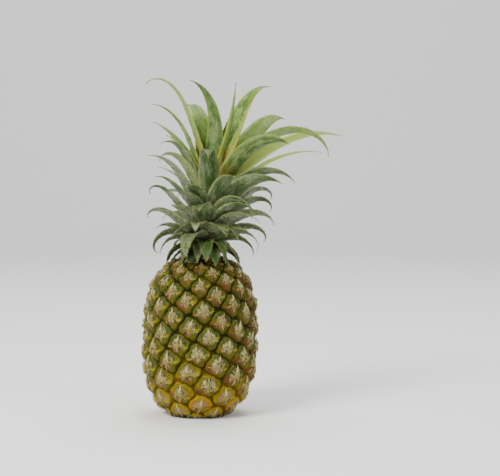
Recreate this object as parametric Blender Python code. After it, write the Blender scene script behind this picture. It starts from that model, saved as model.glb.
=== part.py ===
"""A whole pineapple, standing on its cut base, in metres with +Z up.

The origin is the middle of the flat base. The camera side of the fruit is -Y.
The solids are the fruit with its eyes, the leafy crown, and the cut stub of the stalk.
"""

import math

import bmesh
import bpy
import numpy as np
from mathutils import Vector

MM = 0.001

# The fruit's smooth barrel, under the eyes: two half superellipses that meet at the belly
BELLY_RADIUS = 56.4 * MM
BELLY_HEIGHT = 76 * MM
UPPER_HALF = 89 * MM
LOWER_HALF = 81 * MM
LOWER_FULLNESS = 2.6
UPPER_FULLNESS = 2.9
TOP_RADIUS = 13.5 * MM
OUTLINE_POINTS = 600
OUTLINE_EASE = 0.8
NORMAL_REACH = 1.5 * MM
FRUIT_LEAN = 3.5 * MM

# The eyes, in the spiral order that a growing tip makes, with 8 and 13 rows either way
GOLDEN_TURN = math.radians(137.508)
EYE_TWIST = math.radians(0.0038)
EYE_TWIST_START = 16
EYE_RISE = 1.29 * MM
EYE_SHRINK = 0.5
LOW_STRETCH = 0.75
LOW_REACH = 75 * MM
FRONT = math.radians(-90)
FRONT_EYE_TURN = math.radians(-0.5)
FRONT_EYE_HEIGHT = 70 * MM
NEIGHBOURS = (21, 13, -8, -21, -13, 8)

# One eye: a groove round it, a rim, a shoulder, and a beak that leans up
RIM_SHARE = 0.84
SHOULDER_SHARE = 0.50
GROOVE_DEPTH = 1.8 * MM
RIM_RISE = 1.2 * MM
SHOULDER_RISE = 3.2 * MM
BEAK_RISE = 5.0 * MM
BEAK_LIFT = 3.4 * MM
FADE_LOW = 3
FADE_HIGH = 4
FADED = 0.4
END_CLEAR = 1.5 * MM
RING_POINTS = 30
FLOOR_CLEAR = 0.4 * MM

# The cut stub of the stalk, flush with the base
STALK_RADIUS = 11.5 * MM
STALK_DEPTH = 6 * MM
STALK_BEVEL = 0.8 * MM
GAP = 0.3 * MM

# The crown's stem leans to the right: its radius at shares of its height
CROWN_LEAN = math.radians(6)
CROWN_SHIFT = 5.2 * MM
STEM_HEIGHT = 82 * MM
STEM_SHARES = (0, 0.15, 0.45, 0.8, 1)
STEM_RADII = (10.5 * MM, 18 * MM, 17 * MM, 9 * MM, 4.5 * MM)

# The blades
ROOT_SINK = 6 * MM
LEAF_THICK = 1.3 * MM
LEAF_EDGE = 0.8 * MM
CHANNEL = 0.17
TIP_WIDTH = 1.3 * MM
LEAF_CLEAR = 5.5 * MM
LEAST_CUTS = 4
TURN_PER_CUT = 26

# Leaves placed one by one: turn, height up the stem, length, width, tilt at root and at tip, bend,
# roll of the blade about its own length, and how full it stays toward the tip
# (millimetres and degrees; a turn of 0 is right, -90 is toward the front and 180 is left)
PLACED_LEAVES = (
    # the tall ones in the middle, from left to right
    (178, 76, 142, 11, 17.4, 140, 6.0, 34, 2.2),
    (113, 62, 133, 24, 8, 120, 3.0, 0, 3.4),
    (-150, 62, 135, 22, -11.5, 70, 3.0, 50, 2.2),
    (-88, 48, 98, 21, 4, 150, 2.6, -4, 4.5),
    (20, 78, 109, 10, 26, 3, 1.0, -60, 2.0),
    (30, 72, 135, 21, 23.2, 103, 6.0, 45, 3.6),
    (45, 66, 142, 21, 43.7, 114, 5.0, 45, 5.0),
    # the long ones that arch to the right
    (-28, 64, 116, 19, 36, 120, 2.6, -50, 6.0),
    (0, 64, 163, 19, 38.3, 178, 2.8, -38, 2.4),
    (12, 60, 162, 20, 46, 109, 2.3, -48, 2.2),
    (5, 49, 134, 14, 39, 95, 1.5, -30, 2.0),
    (-12, 50, 104, 19, 39, 138, 2.0, -44, 2.4),
    (-36, 44, 102, 24, 43, 123, 2.0, -40, 2.4),
    (8, 33, 80, 19, 43, 180, 4.5, -45, 2.2),
    (-5, 26, 80, 17, 41, 152, 3.0, -45, 2.2),
    (-52, 38, 84, 18, 42, 150, 1.6, -20, 3.0),
    (-20, 24, 77, 16, 42, 120, 1.3, -45, 2.2),
    (-42, 24, 74, 16, 42, 128, 1.4, -30, 2.4),
    (0, 15, 68, 14, 46, 148, 1.5, -50, 2.2),
    (-25, 16, 64, 18, 52, 158, 1.4, -35, 2.4),
    (-20, 12, 56, 19, 50, 165, 1.2, -30, 2.6),
    (-35, 9, 46, 17, 60, 172, 1.0, -25, 2.6),
    (0, 7, 40, 17, 68, 178, 1.0, -35, 2.6),
    # the left side, from the top down
    (172, 62, 121, 13, 15.5, 84, 3.5, 38, 2.0),
    (190, 60, 100, 13, 16, 62, 1.7, 40, 2.2),
    (200, 52, 92, 15, 17, 140, 5.0, 40, 2.2),
    (184, 42, 88, 15, 21, 92, 3.0, 46, 2.0),
    (200, 56, 82, 13, 24, 150, 4.0, 40, 2.4),
    (192, 41, 66, 12, 30, 60, 1.6, 34, 2.2),
    (184, 32, 74, 12, 38, 195, 6.5, 46, 2.2),
    (178, 20, 66, 14, 42, 132, 3.0, 50, 1.9),
    (192, 19, 45, 14, 52, 112, 2.2, 40, 2.4),
    (184, 15, 62, 13, 32, 176, 1.0, 46, 2.2),
    (196, 13, 48, 20, 38, 172, 1.0, 28, 2.6),
    (190, 8, 42, 16, 54, 186, 1.0, 28, 2.6),
    # the front, from the top down to the tongues that hang over the fruit
    (-113, 41, 64, 20, 22, 115, 1.8, 10, 3.0),
    (-62, 43, 88, 20, 28, 130, 2.0, -15, 3.0),
    (-97, 33, 52, 21, 34, 105, 1.6, 8, 6.0),
    (-132, 28, 52, 19, 32, 100, 1.6, 20, 3.0),
    (-42, 30, 66, 20, 40, 112, 1.6, -30, 3.0),
    (-112, 18, 56, 22, 40, 180, 1.0, 8, 3.4),
    (-86, 13, 46, 18, 45, 180, 0.9, 0, 2.6),
    (-72, 10, 42, 17, 52, 180, 0.9, -5, 3.4),
    (-50, 8, 40, 15, 56, 178, 0.9, -20, 2.6),
    (-108, 7, 42, 17, 60, 180, 0.8, 5, 3.6),
    (-156, 6, 44, 18, 62, 180, 0.9, 20, 3.0),
    (-64, 21, 50, 20, 36, 155, 1.4, -10, 4.0),
    (-104, 23, 40, 20, 28, 150, 1.5, 8, 3.0),
    (-48, 20, 50, 18, 38, 160, 1.3, -20, 3.0),
    (-132, 20, 46, 18, 34, 160, 1.3, 20, 3.0),
    (-122, 36, 60, 19, 24, 110, 1.7, 20, 2.6),
    (-98, 12, 42, 16, 48, 178, 0.9, 4, 2.6),
    (-58, 13, 42, 15, 48, 175, 0.9, -12, 2.6),
    (-122, 11, 42, 15, 50, 178, 0.9, 10, 2.6),
    (-84, 5, 34, 14, 62, 182, 0.8, 0, 2.6),
)

# The leaves behind, in spiral order by rule from the lowest, at 0, to the highest, at 1
SPIRAL_COUNT = 46
SPIRAL_START = math.radians(20)
SPIRAL_LOWEST = 4 * MM
SPIRAL_HIGHEST = 62 * MM
BEHIND = 0.3
LEAF_SEED = 7
STAGE = (0.0, 0.25, 0.5, 0.75, 1.0)
LENGTH = (38 * MM, 58 * MM, 78 * MM, 98 * MM, 118 * MM)
WIDTH = (12 * MM, 16 * MM, 18 * MM, 19 * MM, 18 * MM)
ROOT_TILT = (72, 60, 50, 40, 26)
TIP_TILT = (165, 150, 138, 120, 98)
BEND = (1.1, 1.3, 1.5, 1.7, 2.1)
LENGTH_SPREAD = 0.10
WIDTH_SPREAD = 0.06
ROOT_SPREAD = 3
TIP_SPREAD = 9
ROLL_SPREAD = 25
SPIRAL_TIP_FULLNESS = 2.4
# leaves that point left or right are shorter, and the higher of them stand steeper
SIDE_SHORT = 0.35
SIDE_ROOT = 22
SIDE_TIP = 70
ROLL_REACH = 0.4


def clear_scene():
    for obj in list(bpy.data.objects):
        bpy.data.objects.remove(obj, do_unlink=True)


def material(name, colour, roughness):
    made = bpy.data.materials.new(name)
    made.use_nodes = True
    shader = made.node_tree.nodes["Principled BSDF"]
    shader.inputs["Base Color"].default_value = (*colour, 1.0)
    shader.inputs["Roughness"].default_value = roughness
    shader.inputs["Metallic"].default_value = 0.0
    return made


def new_object(name, mesh, finish=None):
    obj = bpy.data.objects.new(name, mesh)
    bpy.context.scene.collection.objects.link(obj)
    if finish:
        mesh.materials.append(finish)
    return obj


def mesh_from(name, points, faces):
    mesh = bpy.data.meshes.new(name)
    mesh.from_pydata([tuple(p) for p in points], [], [tuple(f) for f in faces])
    mesh.update()
    return mesh


def barrel_radius(height):
    """Radius of the smooth barrel at a height: a superellipse above the belly, another below."""
    above = height > BELLY_HEIGHT
    share = abs(height - BELLY_HEIGHT) / (UPPER_HALF if above else LOWER_HALF)
    power = UPPER_FULLNESS if above else LOWER_FULLNESS
    return BELLY_RADIUS * max(0.0, 1 - share**power) ** (1 / power)


class Barrel:
    """The smooth barrel's outline, measured along itself from the edge of the base."""

    def __init__(self):
        top = BELLY_HEIGHT + UPPER_HALF
        turn = np.linspace(0, 1, OUTLINE_POINTS)
        heights = top * np.sin(turn * math.pi / 2) ** OUTLINE_EASE
        radii = np.array([barrel_radius(z) for z in heights])
        keep = (heights < BELLY_HEIGHT) | (radii > TOP_RADIUS)
        self.z, self.r = heights[keep], radii[keep]
        step = np.hypot(np.diff(self.r), np.diff(self.z))
        self.s = np.concatenate([[0], np.cumsum(step)])
        self.length = self.s[-1]
        # Mercator height: equal steps of it and of the turn keep small shapes true on a sphere
        widening = step / ((self.r[1:] + self.r[:-1]) / 2)
        mercator = np.concatenate([[0], np.cumsum(widening)])
        self.mercator = mercator - np.interp(BELLY_HEIGHT, self.z, mercator)

    def at(self, s):
        return np.interp(s, self.s, self.r), np.interp(s, self.s, self.z)

    def normal(self, s):
        r0, z0 = self.at(max(0.0, s - NORMAL_REACH))
        r1, z1 = self.at(min(self.length, s + NORMAL_REACH))
        long = math.hypot(r1 - r0, z1 - z0)
        return (z1 - z0) / long, (r0 - r1) / long

    def proxy(self, turn, s):
        """The point's stand-in on a unit sphere, where the convex hull joins true neighbours."""
        latitude = 2 * math.atan(math.exp(np.interp(s, self.s, self.mercator))) - math.pi / 2
        return (
            math.cos(latitude) * math.cos(turn),
            math.cos(latitude) * math.sin(turn),
            math.sin(latitude),
        )

    def point(self, turn, s, rise):
        r, z = self.at(s)
        out, up = self.normal(s)
        r, z = r + rise * out, z + rise * up
        lean = FRUIT_LEAN * z / (BELLY_HEIGHT + UPPER_HALF)
        return (r * math.cos(turn) + lean, r * math.sin(turn), z)


def eye_rise(barrel, s):
    """Climb from one eye to the next: less where the barrel narrows, more near the base."""
    radius, height = barrel.at(s)
    low = max(0.0, 1 - height / LOW_REACH)
    return EYE_RISE * (radius / BELLY_RADIUS) ** EYE_SHRINK * (1 + LOW_STRETCH * low)


def eye_lattice(barrel):
    """(turn, distance along the barrel) of every eye, and of as many past each end as have neighbours."""
    spare = max(NEIGHBOURS)
    places = {0: float(np.interp(FRONT_EYE_HEIGHT, barrel.z, barrel.s))}
    top = 0
    while places[max(0, top - spare)] < barrel.length:
        places[top + 1] = places[top] + eye_rise(barrel, places[top])
        top += 1
    low = 0
    while places[min(0, low + spare)] > 0:
        places[low - 1] = places[low] - eye_rise(barrel, places[low])
        low -= 1
    eyes = {}
    for k, s in places.items():
        twist = EYE_TWIST * ((k - EYE_TWIST_START) ** 2 - EYE_TWIST_START**2)
        eyes[k] = (FRONT + FRONT_EYE_TURN - GOLDEN_TURN * k + twist, s)
    return eyes


def eye_corners(eyes, k):
    """The six corners of an eye's cell: each is the middle of it and two neighbours side by side."""
    turn, s = eyes[k]
    around = []
    for step in NEIGHBOURS:
        away = eyes[k + step][0] - turn
        around.append((math.remainder(away, 2 * math.pi), eyes[k + step][1] - s))
    corners = []
    for (turn_a, rise_a), (turn_b, rise_b) in zip(around, around[1:] + around[:1]):
        corners.append((turn + (turn_a + turn_b) / 3, s + (rise_a + rise_b) / 3))
    return corners


def between(a, b, share):
    return (a[0] + (b[0] - a[0]) * share, a[1] + (b[1] - a[1]) * share)


def build_fruit(barrel, finish):
    """The rind: grooves between the eyes, a raised rim, a shoulder and a leaning beak on each."""
    eyes = eye_lattice(barrel)
    marks = {}

    def mark(turn, s, rise, lift=0.0):
        if not END_CLEAR < s < barrel.length - END_CLEAR:
            return
        fade = min(1.0, FADE_LOW * s / barrel.length, FADE_HIGH * (1 - s / barrel.length))
        spot = barrel.proxy(turn, s)
        key = tuple(round(c, 3) for c in spot)
        if key not in marks:
            rise *= FADED + (1 - FADED) * fade
            x, y, z = barrel.point(turn, min(s + lift, barrel.length), rise)
            marks[key] = (spot, (x, y, max(z, FLOOR_CLEAR)))

    for k in eyes:
        if k - max(NEIGHBOURS) not in eyes or k + max(NEIGHBOURS) not in eyes:
            continue
        corners = eye_corners(eyes, k)
        mark(*eyes[k], BEAK_RISE, BEAK_LIFT)
        for corner, following in zip(corners, corners[1:] + corners[:1]):
            mark(*between(eyes[k], corner, SHOULDER_SHARE), SHOULDER_RISE)
            mark(*between(eyes[k], corner, RIM_SHARE), RIM_RISE)
            mark(*corner, -GROOVE_DEPTH)
            mark(*between(corner, following, 0.5), -GROOVE_DEPTH)
    for n in range(RING_POINTS):
        turn = 2 * math.pi * n / RING_POINTS
        for s in (0.0, barrel.length):
            marks[("end", n, s)] = (barrel.proxy(turn, s), barrel.point(turn, s, 0.0))

    bm = bmesh.new()
    for spot, _ in marks.values():
        bm.verts.new(spot)
    bmesh.ops.convex_hull(bm, input=bm.verts[:])
    bm.verts.ensure_lookup_table()
    for vert, (_, place) in zip(bm.verts, marks.values()):
        vert.co = place
    bmesh.ops.triangulate(bm, faces=bm.faces[:])
    bmesh.ops.recalc_face_normals(bm, faces=bm.faces[:])
    mesh = bpy.data.meshes.new("fruit")
    bm.to_mesh(mesh)
    bm.free()
    fruit = new_object("fruit", mesh, finish)

    hole = STALK_RADIUS + GAP
    socket = turned_solid("stalk_socket", [(hole, -STALK_DEPTH), (hole, STALK_DEPTH + GAP)])
    socket.hide_render = True
    socket.display_type = "WIRE"
    cut = fruit.modifiers.new("socket for the stalk", "BOOLEAN")
    cut.operation = "DIFFERENCE"
    cut.solver = "EXACT"
    cut.object = socket
    return fruit


def turned_solid(name, outline, sides=20, lean=0.0, finish=None, start=(0.0, 0.0)):
    """A closed solid of round sections. Each outline point is (radius, height); lean tips the axis to +X."""
    points, faces = [], []
    low = outline[0][1]
    for radius, height in outline:
        shift = math.tan(lean) * (height - low)
        for n in range(sides):
            turn = 2 * math.pi * n / sides
            points.append(
                (start[0] + shift + radius * math.cos(turn), start[1] + radius * math.sin(turn), height)
            )
    for ring in range(len(outline) - 1):
        for n in range(sides):
            a, b = ring * sides + n, ring * sides + (n + 1) % sides
            faces.append((a, b, b + sides, a + sides))
    faces.append(tuple(range(sides))[::-1])
    faces.append(tuple(range(len(points) - sides, len(points))))
    return new_object(name, mesh_from(name, points, faces), finish)


def build_stalk(finish):
    outline = [
        (STALK_RADIUS, 0.0),
        (STALK_RADIUS, STALK_DEPTH - STALK_BEVEL),
        (STALK_RADIUS - STALK_BEVEL, STALK_DEPTH),
    ]
    stalk = turned_solid("stalk", outline, sides=24, finish=finish)
    stalk.data.shade_smooth()
    stalk.data.set_sharp_from_angle(angle=math.radians(40))
    return stalk


def leaf_table():
    """One dictionary for each leaf: the ones placed by hand, then the ones behind by rule."""
    leaves = []
    for turn, height, length, width, root_tilt, tip_tilt, bend, roll, full in PLACED_LEAVES:
        leaf = {"turn": math.radians(turn), "height": height * MM, "length": length * MM}
        leaf.update(width=width * MM, root_tilt=root_tilt, tip_tilt=tip_tilt, bend=bend)
        leaf.update(roll=roll, full=full)
        leaves.append(leaf)
    draw = np.random.RandomState(LEAF_SEED)
    for k in range(SPIRAL_COUNT):
        stage = k / (SPIRAL_COUNT - 1)
        turn = SPIRAL_START - GOLDEN_TURN * k
        longer, wider, leant, curled = draw.uniform(-1, 1, 4)
        if math.sin(turn) < BEHIND:
            continue
        sideways = math.cos(turn) ** 2
        shorter = 1 - SIDE_SHORT * sideways
        root_tilt = np.interp(stage, STAGE, ROOT_TILT) + ROOT_SPREAD * leant
        tip_tilt = np.interp(stage, STAGE, TIP_TILT) + TIP_SPREAD * curled
        leaf = {
            "turn": turn,
            "height": SPIRAL_LOWEST + (SPIRAL_HIGHEST - SPIRAL_LOWEST) * stage,
            "length": np.interp(stage, STAGE, LENGTH) * (1 + LENGTH_SPREAD * longer) * shorter,
            "width": np.interp(stage, STAGE, WIDTH) * (1 + WIDTH_SPREAD * wider),
            "root_tilt": root_tilt - SIDE_ROOT * stage * sideways,
            "tip_tilt": tip_tilt - SIDE_TIP * stage * sideways,
            "bend": np.interp(stage, STAGE, BEND),
            "roll": ROLL_SPREAD * math.sin(5 * k),
            "full": SPIRAL_TIP_FULLNESS,
        }
        leaves.append(leaf)
    return leaves


def stem_spot(height, top):
    """The stem's middle and radius at a height above the fruit's top."""
    radius = np.interp(height / STEM_HEIGHT, STEM_SHARES, STEM_RADII)
    return Vector((CROWN_SHIFT + math.tan(CROWN_LEAN) * height, 0.0, top + height)), radius


def shoulder_height(barrel, radius):
    """Lowest height for a leaf's middle line over the fruit at a radius, clear of the eyes' beaks."""
    upper = barrel.z > BELLY_HEIGHT
    return float(np.interp(radius, barrel.r[upper][::-1], barrel.z[upper][::-1])) + LEAF_CLEAR


def leaf_sections(leaf, barrel):
    """(middle, along, side, upper side, share of length) at each cut across the leaf, root to tip."""
    top = barrel.z[-1] + GAP
    middle, radius = stem_spot(leaf["height"], top)
    cuts = LEAST_CUTS + round(abs(leaf["tip_tilt"] - leaf["root_tilt"]) / TURN_PER_CUT)
    out = Vector((math.cos(leaf["turn"]), math.sin(leaf["turn"]), 0))
    side = Vector((-out.y, out.x, 0))
    spot = middle + out * max(0.0, radius - ROOT_SINK)
    found = []
    stride = leaf["length"] / cuts
    for n in range(cuts + 1):
        share = n / cuts
        tilt = leaf["root_tilt"] + (leaf["tip_tilt"] - leaf["root_tilt"]) * share ** leaf["bend"]
        tilt = math.radians(tilt)
        along = out * math.sin(tilt) + Vector((0, 0, math.cos(tilt)))
        upper = Vector((0, 0, math.sin(tilt))) - out * math.cos(tilt)
        if n:
            spot = spot + (along + found[-1][1]).normalized() * stride
            spot.z = max(spot.z, shoulder_height(barrel, math.hypot(spot.x - FRUIT_LEAN, spot.y)))
        roll = math.radians(leaf["roll"]) * math.sin(math.pi / 2 * min(share / ROLL_REACH, 1))
        rolled_side = side * math.cos(roll) + upper * math.sin(roll)
        rolled_upper = upper * math.cos(roll) - side * math.sin(roll)
        found.append((spot, along, rolled_side, rolled_upper, share))
    return found


def blade_width(share, full):
    """Width at a share of the length: broad from the root, then drawn out to a long point."""
    return (0.86 + 0.14 * math.sin(math.pi * min(share / 0.4, 1) / 2)) * (1 - share**full) ** 1.15


def leaf_object(leaf, barrel, name):
    """A channelled blade: three points across above and three below, split alike on both faces."""
    points, faces = [], []
    for spot, _, side, upper, share in leaf_sections(leaf, barrel):
        half = max(leaf["width"] * blade_width(share, leaf["full"]), TIP_WIDTH) / 2
        raised = 2 * half * CHANNEL * (1 - 0.5 * share)
        thick = LEAF_THICK + (LEAF_EDGE - LEAF_THICK) * share
        for across, depth in ((-1, LEAF_EDGE), (0, thick), (1, LEAF_EDGE)):
            points.append(spot + side * half * across + upper * (raised * across**2 + depth / 2))
        for across, depth in ((-1, LEAF_EDGE), (0, thick), (1, LEAF_EDGE)):
            points.append(spot + side * half * across + upper * (raised * across**2 - depth / 2))
    last = len(points) // 6 - 1
    for cut in range(last):
        for strip in (0, 1):
            a, b = cut * 6 + strip, cut * 6 + strip + 1
            c, d = b + 6, a + 6
            faces += [(a, b, c), (a, c, d)]
            faces += [(a + 3, c + 3, b + 3), (a + 3, d + 3, c + 3)]
        for edge, turned in ((0, False), (2, True)):
            a, b = cut * 6 + edge, cut * 6 + edge + 3
            quad = (a, a + 6, b + 6, b)
            faces += [quad[::-1] if turned else quad]
    for cut, turned in ((0, False), (last, True)):
        a = cut * 6
        for strip in (0, 1):
            quad = (a + strip, a + strip + 3, a + strip + 4, a + strip + 1)
            faces.append(quad[::-1] if turned else quad)
    mesh = mesh_from(name, points, faces)
    tidy = bmesh.new()
    tidy.from_mesh(mesh)
    bmesh.ops.triangulate(tidy, faces=tidy.faces[:])
    bmesh.ops.recalc_face_normals(tidy, faces=tidy.faces[:])
    tidy.to_mesh(mesh)
    tidy.free()
    return bpy.data.objects.new(name, mesh)


def keep_outer_shell(mesh):
    """Drops all but the largest shell: the rest are hollows that fusing sealed, and loose scraps."""
    bm = bmesh.new()
    bm.from_mesh(mesh)
    seen, largest = set(), []
    for start in bm.verts:
        if start in seen:
            continue
        shell, waiting = [], [start]
        seen.add(start)
        while waiting:
            vert = waiting.pop()
            shell.append(vert)
            for edge in vert.link_edges:
                other = edge.other_vert(vert)
                if other not in seen:
                    seen.add(other)
                    waiting.append(other)
        if len(shell) > len(largest):
            largest = shell
    kept = set(largest)
    bmesh.ops.delete(bm, geom=[v for v in bm.verts if v not in kept], context="VERTS")
    bm.to_mesh(mesh)
    bm.free()


def build_crown(barrel, finish):
    """The stem with every leaf fused to it by one Boolean union."""
    top = barrel.z[-1] + GAP
    outline = []
    for share in STEM_SHARES:
        middle, radius = stem_spot(share * STEM_HEIGHT, top)
        outline.append((radius, middle.z))
    crown = turned_solid("crown", outline, sides=16, lean=CROWN_LEAN, finish=finish, start=(CROWN_SHIFT, 0.0))

    leaves = bpy.data.collections.new("leaves")
    bpy.context.scene.collection.children.link(leaves)
    for k, leaf in enumerate(leaf_table()):
        leaves.objects.link(leaf_object(leaf, barrel, f"leaf_{k:02d}"))
    join = crown.modifiers.new("leaves", "BOOLEAN")
    join.operation = "UNION"
    join.operand_type = "COLLECTION"
    join.collection = leaves
    join.solver = "EXACT"
    bpy.context.view_layer.update()
    fused = bpy.data.meshes.new_from_object(
        crown.evaluated_get(bpy.context.evaluated_depsgraph_get())
    )
    crown.modifiers.clear()
    keep_outer_shell(fused)
    crown.data = fused
    for obj in list(leaves.objects):
        bpy.data.objects.remove(obj, do_unlink=True)
    bpy.data.collections.remove(leaves)
    return crown


def main():
    clear_scene()
    rind = material("rind", (0.33, 0.33, 0.10), 0.55)
    leaf = material("leaf", (0.30, 0.42, 0.22), 0.45)
    wood = material("cut_stalk", (0.62, 0.52, 0.34), 0.80)
    barrel = Barrel()
    build_fruit(barrel, rind)
    build_stalk(wood)
    build_crown(barrel, leaf)


main()
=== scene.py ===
import math
import bpy
import numpy as np
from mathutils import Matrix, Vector


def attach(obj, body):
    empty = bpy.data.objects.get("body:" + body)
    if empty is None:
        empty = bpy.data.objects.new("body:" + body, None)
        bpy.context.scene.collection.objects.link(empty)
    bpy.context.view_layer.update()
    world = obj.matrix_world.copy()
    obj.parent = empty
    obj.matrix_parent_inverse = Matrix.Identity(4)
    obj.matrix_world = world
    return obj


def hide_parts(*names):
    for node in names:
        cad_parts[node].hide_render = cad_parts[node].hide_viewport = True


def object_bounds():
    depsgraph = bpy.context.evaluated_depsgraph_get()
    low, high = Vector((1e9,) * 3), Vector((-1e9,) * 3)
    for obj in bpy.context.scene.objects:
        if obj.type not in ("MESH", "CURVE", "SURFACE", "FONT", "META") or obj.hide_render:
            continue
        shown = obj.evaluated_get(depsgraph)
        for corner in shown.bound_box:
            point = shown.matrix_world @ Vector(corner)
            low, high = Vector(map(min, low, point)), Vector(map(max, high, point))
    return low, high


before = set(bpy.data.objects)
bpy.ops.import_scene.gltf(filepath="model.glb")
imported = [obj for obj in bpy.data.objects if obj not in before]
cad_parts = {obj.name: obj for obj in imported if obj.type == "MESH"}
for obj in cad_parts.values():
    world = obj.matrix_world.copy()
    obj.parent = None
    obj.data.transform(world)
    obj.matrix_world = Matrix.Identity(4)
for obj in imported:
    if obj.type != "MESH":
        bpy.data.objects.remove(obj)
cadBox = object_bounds()

mm = 0.001
goldenTurn = math.radians(137.508)


# Meshes and materials

# A mesh object from a list of points and the corners of its faces, smooth all over
def meshObject(name, points, quads, tris=None):
    faces = [list(q) for q in quads] + ([list(t) for t in tris] if tris is not None else [])
    mesh = bpy.data.meshes.new(name)
    mesh.from_pydata(np.asarray(points, float).reshape(-1, 3), [], faces)
    mesh.update()
    mesh.shade_smooth()
    piece = bpy.data.objects.new(name, mesh)
    bpy.context.scene.collection.objects.link(piece)
    return piece


# One number for each point, which the piece's material reads by name
def addMask(piece, name, values):
    layer = piece.data.attributes.new(name, "FLOAT", "POINT")
    layer.data.foreach_set("value", np.asarray(values, np.float32).ravel())


# Three numbers for each point, which a pattern on the piece follows
def addVector(piece, name, values):
    layer = piece.data.attributes.new(name, "FLOAT_VECTOR", "POINT")
    layer.data.foreach_set("vector", np.asarray(values, np.float32).ravel())


# Corner numbers for rows x cols points whose columns close in a ring: each face joins a point,
# the next one round, and the same two in the row above
def ringQuads(rows, cols, start=0):
    row, col = np.meshgrid(np.arange(rows - 1), np.arange(cols), indexing="ij")
    nextCol = (col + 1) % cols
    low, high = row * cols, (row + 1) * cols
    quads = np.stack([low + col, low + nextCol, high + nextCol, high + col], -1)
    return quads.reshape(-1, 4) + start


# 0 below a, 1 above b, and between them three times the share's square less twice its cube
def ease(x, a, b):
    t = np.clip((x - a) / (b - a), 0, 1)
    return t * t * (3 - 2 * t)


# 1 at the middle, falling to 0 about two widths away: e to the power of minus the square of the
# distance in widths
def bell(x, middle, width):
    return np.exp(-(((x - middle) / width) ** 2))


# A material whose colour is built up in layers, each laid over the ones before by a mask
class Finish:
    def __init__(self, name, colour, roughness, specular=0.5):
        self.material = bpy.data.materials.new(name)
        self.material.use_nodes = True
        self.tree = self.material.node_tree
        self.shader = self.tree.nodes["Principled BSDF"]
        self.shader.inputs["Roughness"].default_value = roughness
        self.shader.inputs["Specular IOR Level"].default_value = specular
        self.shader.inputs["Base Color"].default_value = (*colour, 1)
        self.colour = colour
        self.coords = self.tree.nodes.new("ShaderNodeTexCoord").outputs["Object"]

    # Puts a colour or a number on a socket, or links another node's result to it
    def feed(self, socket, value):
        if isinstance(value, tuple):
            socket.default_value = (*value, 1)
        elif isinstance(value, (int, float)):
            socket.default_value = value
        else:
            self.tree.links.new(value, socket)

    # The number that each point of the piece carries under a name
    def mask(self, name):
        node = self.tree.nodes.new("ShaderNodeAttribute")
        node.attribute_name = name
        return node.outputs["Fac"]

    # The three numbers that each point carries under a name
    def vector(self, name):
        node = self.tree.nodes.new("ShaderNodeAttribute")
        node.attribute_name = name
        return node.outputs["Vector"]

    # Cloudy noise with so many bumps a metre, on Object coordinates unless a source is given
    def noise(self, scale, detail=3.0, rough=0.6, stretch=None, source=None):
        node = self.tree.nodes.new("ShaderNodeTexNoise")
        node.inputs["Scale"].default_value = scale
        node.inputs["Detail"].default_value = detail
        node.inputs["Roughness"].default_value = rough
        vector = source or self.coords
        if stretch:
            mapping = self.tree.nodes.new("ShaderNodeMapping")
            mapping.inputs["Scale"].default_value = stretch
            self.tree.links.new(vector, mapping.inputs["Vector"])
            vector = mapping.outputs["Vector"]
        self.tree.links.new(vector, node.inputs["Vector"])
        return node.outputs["Fac"]

    # Stretches the span low to high of a value over two new ends, 0 and 1 unless said
    def span(self, value, low, high, toLow=0.0, toHigh=1.0):
        node = self.tree.nodes.new("ShaderNodeMapRange")
        node.inputs["From Min"].default_value = low
        node.inputs["From Max"].default_value = high
        node.inputs["To Min"].default_value = toLow
        node.inputs["To Max"].default_value = toHigh
        self.tree.links.new(value, node.inputs["Value"])
        return node.outputs["Result"]

    # One sum on two values, either of which may be a plain number
    def maths(self, kind, a, b):
        node = self.tree.nodes.new("ShaderNodeMath")
        node.operation = kind
        self.feed(node.inputs[0], a)
        self.feed(node.inputs[1], b)
        return node.outputs[0]

    def times(self, a, b):
        return self.maths("MULTIPLY", a, b)

    def plus(self, a, b):
        return self.maths("ADD", a, b)

    # Colour a where the share is 0, b where it is 1, and a straight mix between
    def mixed(self, share, a, b):
        node = self.tree.nodes.new("ShaderNodeMix")
        node.data_type = "RGBA"
        self.feed(node.inputs[0], share)
        self.feed(node.inputs[6], a)
        self.feed(node.inputs[7], b)
        return node.outputs[2]

    # Lays a colour over all the layers so far, as strongly as the share says
    def layer(self, share, colour):
        self.colour = self.mixed(share, self.colour, colour)

    # Fine relief on top of the relief before it
    def bump(self, height, distance, strength=1.0):
        node = self.tree.nodes.new("ShaderNodeBump")
        node.inputs["Strength"].default_value = strength
        node.inputs["Distance"].default_value = distance
        self.tree.links.new(height, node.inputs["Height"])
        normal = self.shader.inputs["Normal"]
        if normal.is_linked:
            self.tree.links.new(normal.links[0].from_socket, node.inputs["Normal"])
        self.tree.links.new(node.outputs["Normal"], normal)

    def roughness(self, value):
        self.tree.links.new(value, self.shader.inputs["Roughness"])

    def done(self):
        self.feed(self.shader.inputs["Base Color"], self.colour)
        return self.material


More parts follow.
